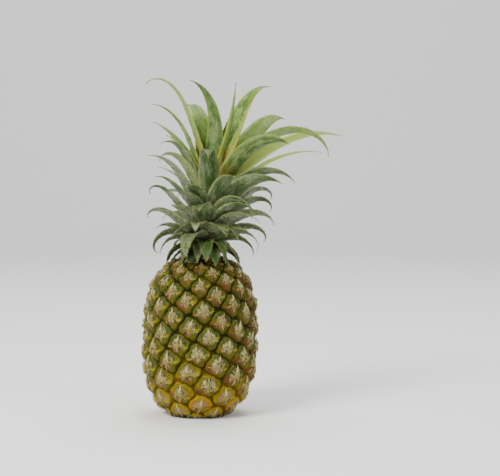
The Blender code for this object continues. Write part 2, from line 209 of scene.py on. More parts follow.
# The fruit: metres and radians, unless a line says otherwise
fruit = {
    "bellyRadius": 56.4 * mm,
    "bellyHeight": 76 * mm,
    "upperHalf": 89 * mm,
    "lowerHalf": 81 * mm,
    "lowerFullness": 2.6,
    "upperFullness": 2.9,
    "topRadius": 13.5 * mm,
    "lean": 3.5 * mm,
    "stalkHole": 11.8 * mm,
    "stalkDepth": 6.3 * mm,
    "around": 520,  # points round the rind
    "up": 188,  # and up it
    # the eyes' spiral order: the turn's twist, and how much further along each starts
    "eyeTwist": math.radians(0.0038),
    "eyeTwistStart": 16,
    "eyeRise": 1.29 * mm,
    "eyeShrink": 0.5,
    "eyeLowStretch": 0.75,
    "eyeLowReach": 75 * mm,
    "eyeFrontTurn": math.radians(-90.5),
    "eyeFrontHeight": 70 * mm,
    "eyeSpare": 21,  # eyes placed past each end
    # one eye: its halves in millimetres, and the most that it is turned, in degrees
    "eyeHalfWidth": 11.4,
    "eyeHalfHeight": 13.3,
    "eyeTilt": 13,
    "eyeSeed": 3,
    "eyeEdge": 1.3 * mm,  # how softly an eye's sides meet at its corners
    # heights and depths on one eye, in millimetres
    "relief": {
        "groove": 2.1,
        "side": 3.0,
        "dome": 1.2,
        "ledge": 1.45,
        "cone": 1.7,
        "flutes": 0.34,
        "grain": 0.22,
        "firstArc": 0.50,
        "secondArc": 0.42,
        "folds": 0.28,
        "boss": 0.75,
        "arch": 1.15,
        "sunken": 1.25,
        "rings": 0.30,
    },
    "colours": {
        "olive": (0.070, 0.066, 0.0003),
        "mottle": (0.150, 0.132, 0.0004),
        "ripe": (0.255, 0.150, 0.0004),
        # painted shade that darkens the rind towards the top, under the crown
        "topShade": (0.020, 0.027, 0.002),
        "shade": (0.010, 0.020, 0.0012),
        "arcAbove": (0.155, 0.185, 0.020),
        "arcBelow": (0.42, 0.31, 0.003),
        # the lower halves' own red-brown and olive, darkened by painted shade where they face down
        "underLeftShaded": (0.058, 0.036, 0.0004),
        "underRightShaded": (0.066, 0.070, 0.0003),
        "wingLeft": (0.135, 0.066, 0.0015),
        "wingRight": (0.26, 0.265, 0.0012),
        "red": (0.115, 0.019, 0.009),
        "darkGrain": (0.015, 0.014, 0.0004),
        "paleGrain": (0.23, 0.235, 0.05),
        "fan": (0.045, 0.040, 0.003),
        "silver": (0.42, 0.41, 0.19),
        "tan": (0.38, 0.24, 0.11),
        "inside": (0.30, 0.175, 0.110),
        "boss": (0.26, 0.085, 0.048),
        "archGreen": (0.15, 0.135, 0.0008),
        "archYellow": (0.33, 0.230, 0.0005),
        "archOrange": (0.40, 0.195, 0.0005),
        "line": (0.012, 0.013, 0.0005),
        # the grooves' own dark green, deepened by painted shade, darkest towards the top
        "grooveShadeAbove": (0.006, 0.009, 0.0002),
        "grooveShadeBelow": (0.060, 0.047, 0.0003),
    },
}


# Radius at a height: the belly's, times the p-th root of 1 less the p-th power of the height's
# share of the half it lies in, which is a superellipse above the belly and another below it
def barrelRadius(height):
    above = height > fruit["bellyHeight"]
    half = np.where(above, fruit["upperHalf"], fruit["lowerHalf"])
    share = np.abs(height - fruit["bellyHeight"]) / half
    power = np.where(above, fruit["upperFullness"], fruit["lowerFullness"])
    return fruit["bellyRadius"] * np.maximum(0, 1 - share**power) ** (1 / power)


# The barrel's outline as heights, radii and the distance along it from the edge of the base
def barrelOutline():
    top = fruit["bellyHeight"] + fruit["upperHalf"]
    # the steps crowd together towards the top, where the outline turns fastest
    heights = top * np.sin(np.linspace(0, 1, 600) * math.pi / 2) ** 0.8
    radii = barrelRadius(heights)
    keep = (heights < fruit["bellyHeight"]) | (radii > fruit["topRadius"])
    heights, radii = heights[keep], radii[keep]
    along = np.concatenate([[0], np.cumsum(np.hypot(np.diff(radii), np.diff(heights)))])
    return heights, radii, along


barrelZ, barrelR, barrelS = barrelOutline()
barrelLong = barrelS[-1]
barrelTop = barrelZ[-1]


# The barrel's radius at a distance along its outline
def radiusAt(s):
    return np.interp(s, barrelS, barrelR)


# Points at a turn and a distance along the barrel, raised straight out from it: across and up by
# the rise times the outline's slope, then leant sideways in step with the height
def onBarrel(turn, s, rise):
    low, high = np.clip(s - 1.5 * mm, 0, barrelLong), np.clip(s + 1.5 * mm, 0, barrelLong)
    dr = np.interp(high, barrelS, barrelR) - np.interp(low, barrelS, barrelR)
    dz = np.interp(high, barrelS, barrelZ) - np.interp(low, barrelS, barrelZ)
    long = np.hypot(dr, dz)
    r = np.interp(s, barrelS, barrelR) + rise * dz / long
    z = np.interp(s, barrelS, barrelZ) - rise * dr / long
    lean = fruit["lean"] * z / (fruit["bellyHeight"] + fruit["upperHalf"])
    return np.stack([r * np.cos(turn) + lean, r * np.sin(turn), np.maximum(z, 0.3 * mm)], -1)


# How much further along each eye starts than the last: less where the barrel narrows, and more
# towards the base
def eyeRise(s):
    low = np.maximum(0, 1 - np.interp(s, barrelS, barrelZ) / fruit["eyeLowReach"])
    narrow = (radiusAt(s) / fruit["bellyRadius"]) ** fruit["eyeShrink"]
    return fruit["eyeRise"] * narrow * (1 + fruit["eyeLowStretch"] * low)


# Turn and distance of every eye in golden-angle order, some past each end
def eyePlaces():
    spare = fruit["eyeSpare"]
    places = {0: float(np.interp(fruit["eyeFrontHeight"], barrelZ, barrelS))}
    top = low = 0
    while places[max(0, top - spare)] < barrelLong:
        places[top + 1] = places[top] + float(eyeRise(places[top]))
        top += 1
    while places[min(0, low + spare)] > 0:
        places[low - 1] = places[low] - float(eyeRise(places[low]))
        low -= 1
    order = np.array(sorted(places))
    start = fruit["eyeTwistStart"]
    twist = fruit["eyeTwist"] * ((order - start) ** 2 - start**2)
    turns = fruit["eyeFrontTurn"] - goldenTurn * order + twist
    return turns, np.array([places[k] for k in order])


eyeTurn, eyeS = eyePlaces()
eyeCount = len(eyeTurn)
eyeDraw = np.random.RandomState(fruit["eyeSeed"]).uniform(-1, 1, (eyeCount, 8))
eyeArea = radiusAt(eyeS) / fruit["bellyRadius"] * eyeRise(eyeS) / fruit["eyeRise"]
eyeSize = np.sqrt(eyeArea)


# How far the eyes' borders wander: the sums of three waves that close round the fruit
def wander(turn, s):
    first = np.sin(23 * turn + 310 * s)
    second = np.sin(31 * turn - 470 * s + 2.1)
    third = np.sin(52 * turn + 830 * s + 4.4)
    across = 0.40 * first + 0.30 * second + 0.15 * third
    up = 0.35 * second - 0.30 * first - 0.15 * third
    return across * mm, up * mm


# Each point's own eye, its place inside it, and how far it is from the eye's edge, in millimetres
def eyePlaceOf(turn, s):
    shape = np.broadcast(turn, s).shape
    turn = np.broadcast_to(turn, shape).ravel().astype(np.float32)
    s = np.broadcast_to(s, shape).ravel().astype(np.float32)
    away = (turn[:, None] - eyeTurn[None].astype(np.float32) + math.pi) % (2 * math.pi) - math.pi
    strayAcross, strayUp = wander(turn, s)
    away = away * radiusAt(s)[:, None].astype(np.float32) + strayAcross[:, None]
    climb = s[:, None] + strayUp[:, None] - eyeS[None].astype(np.float32)
    far = away**2 + climb**2
    order = np.argpartition(far, 4, axis=1)[:, :5]
    near = np.take_along_axis(far, order, 1)
    rank = np.argsort(near, axis=1)
    order, near = np.take_along_axis(order, rank, 1), np.take_along_axis(near, rank, 1)
    own = order[:, 0]
    line = np.arange(len(s))
    gaps = []
    for n in range(1, 5):
        other = order[:, n]
        apart = np.hypot(away[line, other] - away[line, own], climb[line, other] - climb[line, own])
        gaps.append((near[:, n] - near[:, 0]) / (2 * apart))
    soft = fruit["eyeEdge"]
    edge = -soft * np.log(np.sum([np.exp(-gap / soft) for gap in gaps], axis=0))
    edge = edge + 0.35 * mm  # a soft least value lies below the true one
    size = eyeSize[own]
    tilt = np.radians(fruit["eyeTilt"]) * eyeDraw[own, 0]
    x, y = away[line, own] / mm / size, climb[line, own] / mm / size
    across = x * np.cos(tilt) + y * np.sin(tilt)
    up = y * np.cos(tilt) - x * np.sin(tilt)
    # the top corner of each eye is rounded off
    u, v = across / fruit["eyeHalfWidth"], up / fruit["eyeHalfHeight"]
    outward = (np.abs(u) ** 2.2 + np.maximum(v, 0) ** 2.2) ** (1 / 2.2)
    cap = (0.93 + 0.5 * (1 - ease(v, 0.1, 0.5)) - outward) * fruit["eyeHalfHeight"] * size * mm
    edge = -soft * np.log(np.exp(-edge / soft) + np.exp(-np.maximum(cap, -8 * mm) / soft))
    return (
        own.reshape(shape),
        u.reshape(shape),
        v.reshape(shape),
        (edge / mm / size).reshape(shape),
        size.reshape(shape),
    )


# Height of the rind over the barrel, as a sum: a dome that drops into the groove, a ledge under
# the wings, a fluted cone under the point, two arcs, folds, a boss, and near the base an arch
# round a sunken inside. It also gives the masks that the colours follow
def rindForm(turn, s):
    relief = fruit["relief"]
    own, u, v, edge, size = eyePlaceOf(turn, s)
    z = np.interp(s, barrelS, barrelZ) + np.zeros_like(u)
    low = ease(-z + 5 * mm * eyeDraw[own, 5], -40 * mm, -16 * mm)
    wing = -0.13 + 0.07 * np.abs(u) + 0.03 * eyeDraw[own, 6] * u
    over = v - wing
    upper = ease(over, -0.05, 0.10)
    lower = 1 - upper
    # a dome with a steep side, higher under the wings, that drops into the groove
    body = -relief["groove"] + relief["side"] * ease(edge, 0.1, 2.0)
    body += relief["dome"] * ease(edge, 0.8, 9.0)
    ledge = lower * (1.0 - 0.75 * ease(-over, 0.02, 0.75)) * ease(edge, 0.4, 2.2)
    body += relief["ledge"] * ledge
    # the cone under the point, fluted by the dried parts that lie round it
    reach = np.sqrt((u / 0.62) ** 2 + ((v - 0.14) / 0.56) ** 2)
    cone = np.clip(1 - reach, 0, 1)
    angle = np.arctan2(u, v + 0.12)
    flutes = np.sin(9 * angle + 6 * eyeDraw[own, 7]) * np.sin(5 * angle + 4 * eyeDraw[own, 6])
    flutes = flutes * ease(cone, 0.04, 0.3) * (1 - ease(cone, 0.75, 1.0))
    body += relief["cone"] * cone**1.2 + relief["flutes"] * flutes
    spread = np.sqrt((u / 0.60) ** 2 + ((v - 0.05) / 0.55) ** 2)
    cluster = ease(1.0 + 0.12 * eyeDraw[own, 6] - spread, 0, 0.4)
    grain = np.sin(19 * angle + 9 * eyeDraw[own, 5]) * np.sin(9 * spread + 5 * eyeDraw[own, 4])
    body += relief["grain"] * grain * cluster
    # thin arcs that follow the upper edge of the dome
    arcOne, arcTwo = bell(edge, 2.7, 0.42) * upper, bell(edge, 4.3, 0.45) * upper
    body -= relief["firstArc"] * arcOne + relief["secondArc"] * arcTwo
    # folds that run down the lower half from the wings
    folds = np.sin(11 * u + 5 * eyeDraw[own, 7]) * ease(edge, 1.0, 3.5) * ease(-over, 0.1, 0.4)
    body += relief["folds"] * folds * lower
    # the pinkish boss under the point
    patch = bell(u + 0.08 * eyeDraw[own, 2], 0, 0.21)
    patch = patch * bell(v + 0.07 * eyeDraw[own, 3], -0.46, 0.16)
    body += relief["boss"] * patch
    # eyes near the base: a broad smooth arch round a sunken inside
    arch = bell(edge, 2.7, 2.1) * ease(over, -0.35, 0.05)
    sunken = ease(edge, 4.3, 5.8) * upper
    rings = relief["rings"] * np.sin(3.4 * edge)
    hollow = (relief["sunken"] - rings) * sunken * (1 - 0.7 * cone)
    body += low * (relief["arch"] * arch - hollow)
    ends = np.clip(np.minimum(3 * s / barrelLong, 4 * (1 - s / barrelLong)), 0, 1)
    body *= size * (0.45 + 0.55 * ends)
    near = 1 - ease(edge, 0.3, 1.6)
    band = (1 - ease(-over, 0.06, 0.26)) * ease(-over, -0.03, 0.05)
    leftSide = ease(0.2 * eyeDraw[own, 2] - u, 0.05, 0.75) * ease(eyeDraw[own, 3], -0.8, 0.3)
    shade = ease(over, -0.05, 0.35) * ease(edge, 0.3, 1.2) * (1 - ease(edge, 3.6, 6.5))
    masks = {
        # the grooves carry painted shade as well as their own dark green, wider on the lower half
        "groove": 1 - ease(edge, 0.05, 0.85 + 0.35 * lower),
        "shade": shade * (1 - low),
        "arc": (bell(edge, 1.9, 0.5) + bell(edge, 3.5, 0.45)) * upper,
        "line": (arcOne + arcTwo) * (1 - 0.5 * low),
        "fan": cluster * (1 - near) * (1 - 0.75 * low),
        "hand": ease(u + 0.25 * eyeDraw[own, 2], -0.4, 0.4) * (1 - near),
        "wing": band * ease(np.abs(u), 0.05, 0.2) * (1 - near),
        # the lower half of each eye, whose colour is partly painted shade
        "below": lower * ease(-over, 0.02, 0.25) * (1 - near),
        "patch": patch,
        "red": leftSide * lower * (1 - near),
        "arch": arch * low * (1 - near),
        "inside": low * upper * ease(edge, 4.2, 5.4),
        "ripe": ease(-z + 20 * mm * eyeDraw[own, 4], -95 * mm, 8 * mm),
        "tone": eyeDraw[own, 1] * (1 - near),
    }
    outward = 1.6 * np.hypot(u, v + 0.12) + 7.0 * own
    around = np.stack([2.4 * np.cos(angle), 2.4 * np.sin(angle), outward], -1)
    return body * mm, masks, around


# The rind on a grid of turns and distances along the barrel, closed at the top by a fan and
# below by the wall and roof of the stalk's hole
def buildRind():
    turn = np.linspace(0, 2 * math.pi, fruit["around"], endpoint=False)[None]
    s = np.linspace(0, barrelLong, fruit["up"])[:, None]
    rise, masks, streaks = rindForm(turn, s)
    fade = np.ones_like(s)
    fade[0] = fade[-1] = 0
    points = onBarrel(turn, s, rise * fade)
    points[0, :, 2] = 0
    # the flat base runs in to the stalk's hole, up its wall and over to the middle
    around = np.concatenate([np.cos(turn), np.sin(turn)]).T
    rings = [points]
    for radius, height in ((fruit["stalkHole"], 0), (fruit["stalkHole"], fruit["stalkDepth"])):
        ring = np.concatenate([around * radius, np.full((fruit["around"], 1), height)], 1)
        rings.insert(0, ring[None])
    grid = np.concatenate(rings)
    rows, cols = grid.shape[:2]
    flat = grid.reshape(-1, 3)
    middles = np.array([[0, 0, fruit["stalkDepth"]], [fruit["lean"], 0, barrelTop]])
    ring = np.arange(cols)
    after = (ring + 1) % cols
    last = (rows - 1) * cols
    under = np.stack([np.full(cols, rows * cols), after, ring], 1)
    lid = np.stack([np.full(cols, rows * cols + 1), last + ring, last + after], 1)
    fans = np.concatenate([under, lid])
    rind = meshObject("rind", np.concatenate([flat, middles]), ringQuads(rows, cols), fans)
    spare = np.zeros((2, cols))
    for name, values in masks.items():
        values = np.broadcast_to(values, (fruit["up"], cols))
        addMask(rind, name, np.concatenate([np.concatenate([spare, values]).ravel(), [0, 0]]))
    flat = np.concatenate([np.zeros((2 * cols, 3)), streaks.reshape(-1, 3), np.zeros((2, 3))])
    addVector(rind, "streaks", flat)
    return rind


# Olive skin that ripens towards the base, with silvery clusters, red flecks, dark grooves and
# painted shade
def rindFinish():
    paint = fruit["colours"]
    skin = Finish("rindSkin", paint["olive"], 0.42, 0.12)
    fine = skin.noise(950, 4, 0.7)
    middle = skin.noise(420, 4, 0.65)
    blotch = skin.noise(190, 3, 0.6)
    broad = skin.noise(70, 2, 0.5)
    streak = skin.noise(2.2, 3, 0.6, None, skin.vector("streaks"))
    ripe = skin.plus(skin.mask("ripe"), skin.span(broad, 0.3, 0.7, -0.25, 0.25))
    tone, hand = skin.mask("tone"), skin.mask("hand")
    skin.layer(skin.span(middle, 0.35, 0.7), paint["mottle"])
    skin.layer(skin.times(ripe, 0.85), paint["ripe"])
    # painted shade: the rind darkens towards the top, where the crown shades it
    skin.layer(skin.span(ripe, 0.3, -0.15, 0.0, 0.72), paint["topShade"])
    shade = skin.times(skin.mask("shade"), skin.span(ripe, 0.0, 1.0, 0.95, 0.25))
    skin.layer(shade, paint["shade"])
    arc = skin.mixed(ripe, paint["arcAbove"], paint["arcBelow"])
    skin.layer(skin.times(skin.mask("arc"), 0.8), arc)
    # the lower half of each eye: its own red-brown or olive, darkened by painted shade where it
    # faces down
    under = skin.mixed(hand, paint["underLeftShaded"], paint["underRightShaded"])
    skin.layer(skin.times(skin.mask("below"), skin.span(middle, 0.36, 0.62, 0.95, 0.35)), under)
    lit = skin.mixed(hand, paint["wingLeft"], paint["wingRight"])
    skin.layer(skin.times(skin.mask("wing"), skin.span(middle, 0.3, 0.55, 0.4, 1.0)), lit)
    red = skin.times(skin.mask("red"), skin.span(blotch, 0.38, 0.50, 0.0, 0.85))
    skin.layer(red, paint["red"])
    skin.layer(skin.span(fine, 0.45, 0.37, 0.0, 0.6), paint["darkGrain"])
    pale = skin.times(skin.span(fine, 0.55, 0.66, 0.0, 0.5), skin.span(ripe, 0.0, 1.0, 1.0, 0.4))
    skin.layer(pale, paint["paleGrain"])
    skin.layer(skin.times(skin.mask("fan"), 0.8), paint["fan"])
    silver = skin.mixed(skin.span(tone, -0.4, 1.0), paint["silver"], paint["tan"])
    skin.layer(skin.times(skin.mask("fan"), skin.span(streak, 0.42, 0.57)), silver)
    inside = skin.times(skin.mask("inside"), skin.span(streak, 0.30, 0.55, 0.35, 0.95))
    skin.layer(inside, paint["inside"])
    fuzz = skin.times(skin.mask("patch"), skin.span(fine, 0.38, 0.58, 0.15, 0.9))
    skin.layer(fuzz, paint["boss"])
    arch = skin.mixed(skin.span(tone, -0.9, 0.4), paint["archGreen"], paint["archYellow"])
    arch = skin.mixed(skin.span(tone, 0.45, 0.65), arch, paint["archOrange"])
    skin.layer(skin.times(skin.mask("arch"), 0.95), arch)
    skin.layer(skin.times(skin.mask("line"), 0.7), paint["line"])
    # the grooves: their own dark green with painted shade in the recess, darker towards the top
    deep = skin.mixed(skin.span(ripe, 0.1, 0.55), paint["grooveShadeAbove"], paint["grooveShadeBelow"])
    skin.layer(skin.times(skin.mask("groove"), 0.9), deep)
    skin.bump(streak, 0.8 * mm, 0.6)
    skin.bump(fine, 0.5 * mm, 0.6)
    skin.bump(middle, 1.3 * mm, 0.6)
    rough = skin.span(fine, 0.3, 0.7, 0.36, 0.60)
    rough = skin.plus(rough, skin.times(skin.mask("fan"), 0.25))
    skin.roughness(skin.plus(rough, skin.times(skin.mask("groove"), 0.4)))
    return skin.done()


rind = buildRind()
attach(rind, "root")
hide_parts("fruit")
rind.data.materials.append(rindFinish())
print("rind made:", len(rind.data.polygons), "faces,", eyeCount, "eyes")


# The bracts, which are a point on each eye, its wings, and the dried bits round it: widths,
# thicknesses and lifts are in millimetres, and lengths in shares of an eye's half
bracts = {
    "pointWidth": 5.6,
    "pointThick": 1.9,
    "pointReach": 0.72,
    "pointLift": 4.0,
    "wingWidth": 1.7,
    "wingThick": 0.9,
    "wingLong": 0.44,
    "keel": 0.35,
    "ragged": 40,  # how many on each eye
    "raggedWidth": 0.80,
    "raggedThick": 0.60,
    "raggedLong": 0.20,
    "foot": 46,  # how many hang round the base
    "footWidth": 3.4,
    "footLift": 4.2,
    "neck": 64,  # how many stand round the neck
    "neckWidth": 3.2,
    "neckLift": 3.4,
    "seed": 11,
    "colours": {
        "straw": (0.34, 0.25, 0.060),
        "green": (0.20, 0.180, 0.002),
        "tip": (0.52, 0.44, 0.20),
        "paleGrain": (0.48, 0.40, 0.20),
        "darkGrain": (0.13, 0.085, 0.012),
        "wingTip": (0.37, 0.18, 0.07),
        "wingBrown": (0.13, 0.050, 0.003),
        "hanging": (0.38, 0.23, 0.11),
        "silver": (0.47, 0.46, 0.24),
        "tan": (0.36, 0.22, 0.11),
        "black": (0.032, 0.026, 0.002),
        "red": (0.15, 0.048, 0.012),
        "burnt": (0.16, 0.08, 0.03),
        "fringe": (0.030, 0.026, 0.008),
        "scale": (0.085, 0.036, 0.018),
        "scaleTip": (0.30, 0.20, 0.09),
    },
}


# Flattened slivers, many at once: a ring of points carried along a line in the eye, each point
# half the width times the cosine to the side, and up by the rind's rise, the lift, and the
# thickness times half the sine, with a keel added in the middle of the upper side
def sliverPoints(place, width, thick, lift, around=6):
    turn, s = place
    rise, _, _ = rindForm(turn, s)
    rise = rise + lift * mm
    spread = np.linspace(0, 2 * math.pi, around, endpoint=False)
    spread = spread + (math.pi / 2 if around == 3 else 0)  # a three-sided one has its ridge on top
    side = np.cos(spread)[None, None] * width[..., None] / 2 * mm
    ridge = (1 - np.abs(np.cos(spread))) * np.maximum(np.sin(spread), 0)
    depth = (np.sin(spread) / 2 + bracts["keel"] * ridge)[None, None] * thick[..., None] * mm
    ds, dt = np.gradient(s, axis=1), np.gradient(turn, axis=1) * radiusAt(s)
    long = np.maximum(np.hypot(ds, dt), 1e-6)
    acrossTurn, acrossS = ds / long, -dt / long
    allTurn = turn[..., None] + side * acrossTurn[..., None] / radiusAt(s)[..., None]
    allS = np.clip(s[..., None] + side * acrossS[..., None], 0, barrelLong)
    return np.clip(onBarrel(allTurn, allS, rise[..., None] + depth), cadBox[0], cadBox[1])


# A line in each chosen eye from one place to another, in shares of its half width and height
def lineInEye(chosen, u, v):
    tilt = np.radians(fruit["eyeTilt"]) * eyeDraw[chosen, 0][:, None]
    x = u * fruit["eyeHalfWidth"] * eyeSize[chosen][:, None]
    y = v * fruit["eyeHalfHeight"] * eyeSize[chosen][:, None]
    across, up = x * np.cos(tilt) - y * np.sin(tilt), y * np.cos(tilt) + x * np.sin(tilt)
    turn = eyeTurn[chosen][:, None] + across * mm / radiusAt(eyeS[chosen])[:, None]
    return turn, np.clip(eyeS[chosen][:, None] + up * mm, 0, barrelLong)


# One mesh of many closed slivers, with masks for how far along, which sort and what tone
def buildSlivers(name, clumps):
    points, faces, base = [], [], 0
    masks = {"tone": [], "sort": [], "along": []}
    for sort, cloud, tone in clumps:
        count, rows, cols = cloud.shape[:3]
        step = rows * cols
        quads = ringQuads(rows, cols)[None] + np.arange(count)[:, None, None] * step + base
        faces += quads.reshape(-1, 4).tolist()
        starts = np.arange(count)[:, None] * step + base
        faces += (starts + np.arange(cols)[None, ::-1]).tolist()
        faces += (starts + np.arange((rows - 1) * cols, step)[None]).tolist()
        points.append(cloud.reshape(-1, 3))
        shape = (count, rows, cols)
        masks["tone"].append(np.broadcast_to(tone[:, None, None], shape).ravel())
        masks["sort"].append(np.full(count * step, sort))
        along = np.linspace(0, 1, rows)[None, :, None]
        masks["along"].append(np.broadcast_to(along, shape).ravel())
        base += count * step
    piece = meshObject(name, np.concatenate(points), faces)
    for mask, values in masks.items():
        addMask(piece, mask, np.concatenate(values))
    return piece


# Each line below is a straight or bent path from t = 0 at the root to t = 1 at the tip, with a
# width that shrinks as a power of 1 - t and a lift that grows as a power of t
def buildBracts():
    inside = np.where((eyeS > 4 * mm) & (eyeS < barrelLong - 5 * mm))[0]
    count = len(inside)
    draw = np.random.RandomState(bracts["seed"]).uniform(-1, 1, (count, 12))
    size = eyeSize[inside][:, None]
    clumps = []
    # the point, a keeled blade from the wings up to near the top of the eye
    t = np.linspace(0, 1, 8)[None]
    reach = bracts["pointReach"] + 0.16 * draw[:, :1]
    u = (0.06 + 0.16 * draw[:, 1:2]) * t**2 + 0.04 * draw[:, 2:3]
    v = -0.17 + (reach + 0.17) * t
    width = (bracts["pointWidth"] * (1 - t) ** 1.35 * (1 + 0.15 * draw[:, 3:4]) + 0.45) * size
    thick = (bracts["pointThick"] * (1 - t) + 0.4) * size
    lift = -0.5 + bracts["pointLift"] * (0.6 + 0.4 * draw[:, 4:5]) * t**1.7
    clumps.append((0, sliverPoints(lineInEye(inside, u, v), width, thick, lift, 8), draw[:, 5]))
    # a wing on either side, out to the eye's corner, with a dry tip that lifts off
    t = np.linspace(0, 1, 6)[None]
    for hand in (-1, 1):
        long = bracts["wingLong"] + 0.18 * draw[:, 6:7] + 0.18 * hand * draw[:, 7:8]
        u = hand * (0.40 + long * t)
        v = -0.14 + (0.18 * hand * draw[:, 9:10] - 0.07) * np.sin(math.pi * t * 0.8) + 0.05 * t
        width = (bracts["wingWidth"] * (1 - t**1.2) * (0.8 + 0.3 * draw[:, 10:11]) + 0.3) * size
        thick = (bracts["wingThick"] * (1 - t) + 0.3) * size
        lift = -0.1 + (0.9 + 0.8 * draw[:, 8:9]) * t**2
        wing = sliverPoints(lineInEye(inside, u, v), width, thick, lift)
        clumps.append((1, wing, hand * draw[:, 9]))
    # the dried bit that hangs under the point
    u = 0.08 * draw[:, 10:11] + 0.30 * draw[:, 11:12] * t
    v = -0.20 - (0.34 + 0.20 * draw[:, 9:10]) * t
    width = (0.9 * (1 - t) + 0.4 + 0.7 * np.sin(math.pi * t)) * size
    lift = 0.25 + 0.8 * t**1.5
    thick = 0.5 * size + 0 * t
    clumps.append((2, sliverPoints(lineInEye(inside, u, v), width, thick, lift), draw[:, 5]))
    # fine ragged bits that start all over a triangle and lean in to the point, like a tent
    many = np.repeat(inside, bracts["ragged"])
    # few of them are left on the eyes near the base
    bare = ease(-np.interp(eyeS[many], barrelS, barrelZ), -40 * mm, -16 * mm)
    many = many[np.random.RandomState(bracts["seed"] + 3).uniform(0, 1, len(many)) > 0.75 * bare]
    draw = np.random.RandomState(bracts["seed"] + 1).uniform(-1, 1, (len(many), 7))
    size = eyeSize[many][:, None]
    t = np.linspace(0, 1, 4)[None]
    high, far = draw[:, :1], draw[:, 1:2]
    way = np.where(high < -0.35 + 0.25 * draw[:, 6:7], -1, 1)
    u = far * (0.40 - 0.24 * high)
    long = (bracts["raggedLong"] + 0.10 * draw[:, 3:4]) * np.where(way > 0, 1.15, 0.9)
    v = -0.02 + 0.25 * high + way * long * t
    stray = np.where(way > 0, -0.75, 0.55) * far + 0.32 * draw[:, 2:3]
    u = u + stray * long * t + 0.06 * draw[:, 4:5] * t**2
    width = (bracts["raggedWidth"] + 0.35 * draw[:, 4:5]) * ((1 - t) ** 0.7 + 0.15) * size
    ridge = 0.9 * (1 - np.abs(far)) * np.where(way > 0, 1, 0.4)
    lift = 0.10 + ridge + (0.6 + 0.7 * draw[:, 5:6]) * t**1.6
    thick = (bracts["raggedThick"] * (1 - t) + 0.2) * size
    clumps.append((3, sliverPoints(lineInEye(many, u, v), width, thick, lift, 3), draw[:, 6]))
    # dried bracts that hang from the lowest eyes down to what the fruit stands on
    foot = bracts["foot"]
    draw = np.random.RandomState(bracts["seed"] + 2).uniform(-1, 1, (foot, 6))
    t = np.linspace(0, 1, 7)[None]
    turn = (np.arange(foot)[:, None] + 0.4 * draw[:, :1]) * 2 * math.pi / foot
    turn = turn + 0.10 * draw[:, 1:2] * t
    s = (9.5 + 3 * draw[:, 2:3]) * mm - (8 + 2 * draw[:, 3:4]) * mm * t
    width = (bracts["footWidth"] + 1.2 * draw[:, 4:5]) * (1 - t) ** 0.7 + 0.5
    lift = -0.4 + (bracts["footLift"] + 3.2 * draw[:, 5:6]) * t**1.3
    thick = 0.7 * (1 - t) + 0.3 + 0 * width
    hanging = sliverPoints((turn, np.maximum(s, 0.8 * mm)), width, thick, lift)
    clumps.append((4, hanging, draw[:, 0]))
    # dried scales that stand round the neck, where the crown leaves the fruit
    neck = bracts["neck"]
    draw = np.random.RandomState(bracts["seed"] + 4).uniform(-1, 1, (neck, 6))
    turn = (np.arange(neck)[:, None] + 0.5 * draw[:, :1]) * 2 * math.pi / neck
    turn = turn * np.ones_like(t) + 0.10 * draw[:, 1:2] * t
    s = barrelLong - (9.5 + 5.5 * draw[:, 2:3]) * mm + (6.0 + 2.0 * draw[:, 3:4]) * mm * t
    width = (bracts["neckWidth"] + 1.2 * draw[:, 4:5]) * (1 - t) ** 0.8 + 0.4
    lift = -0.4 + (bracts["neckLift"] + 2.0 * draw[:, 5:6]) * t**1.2
    thick = 0.7 * (1 - t) + 0.3 + 0 * width
    standing = sliverPoints((turn, np.minimum(s, barrelLong - 1 * mm)), width, thick, lift)
    clumps.append((5, standing, draw[:, 0]))
    return buildSlivers("bracts", clumps)


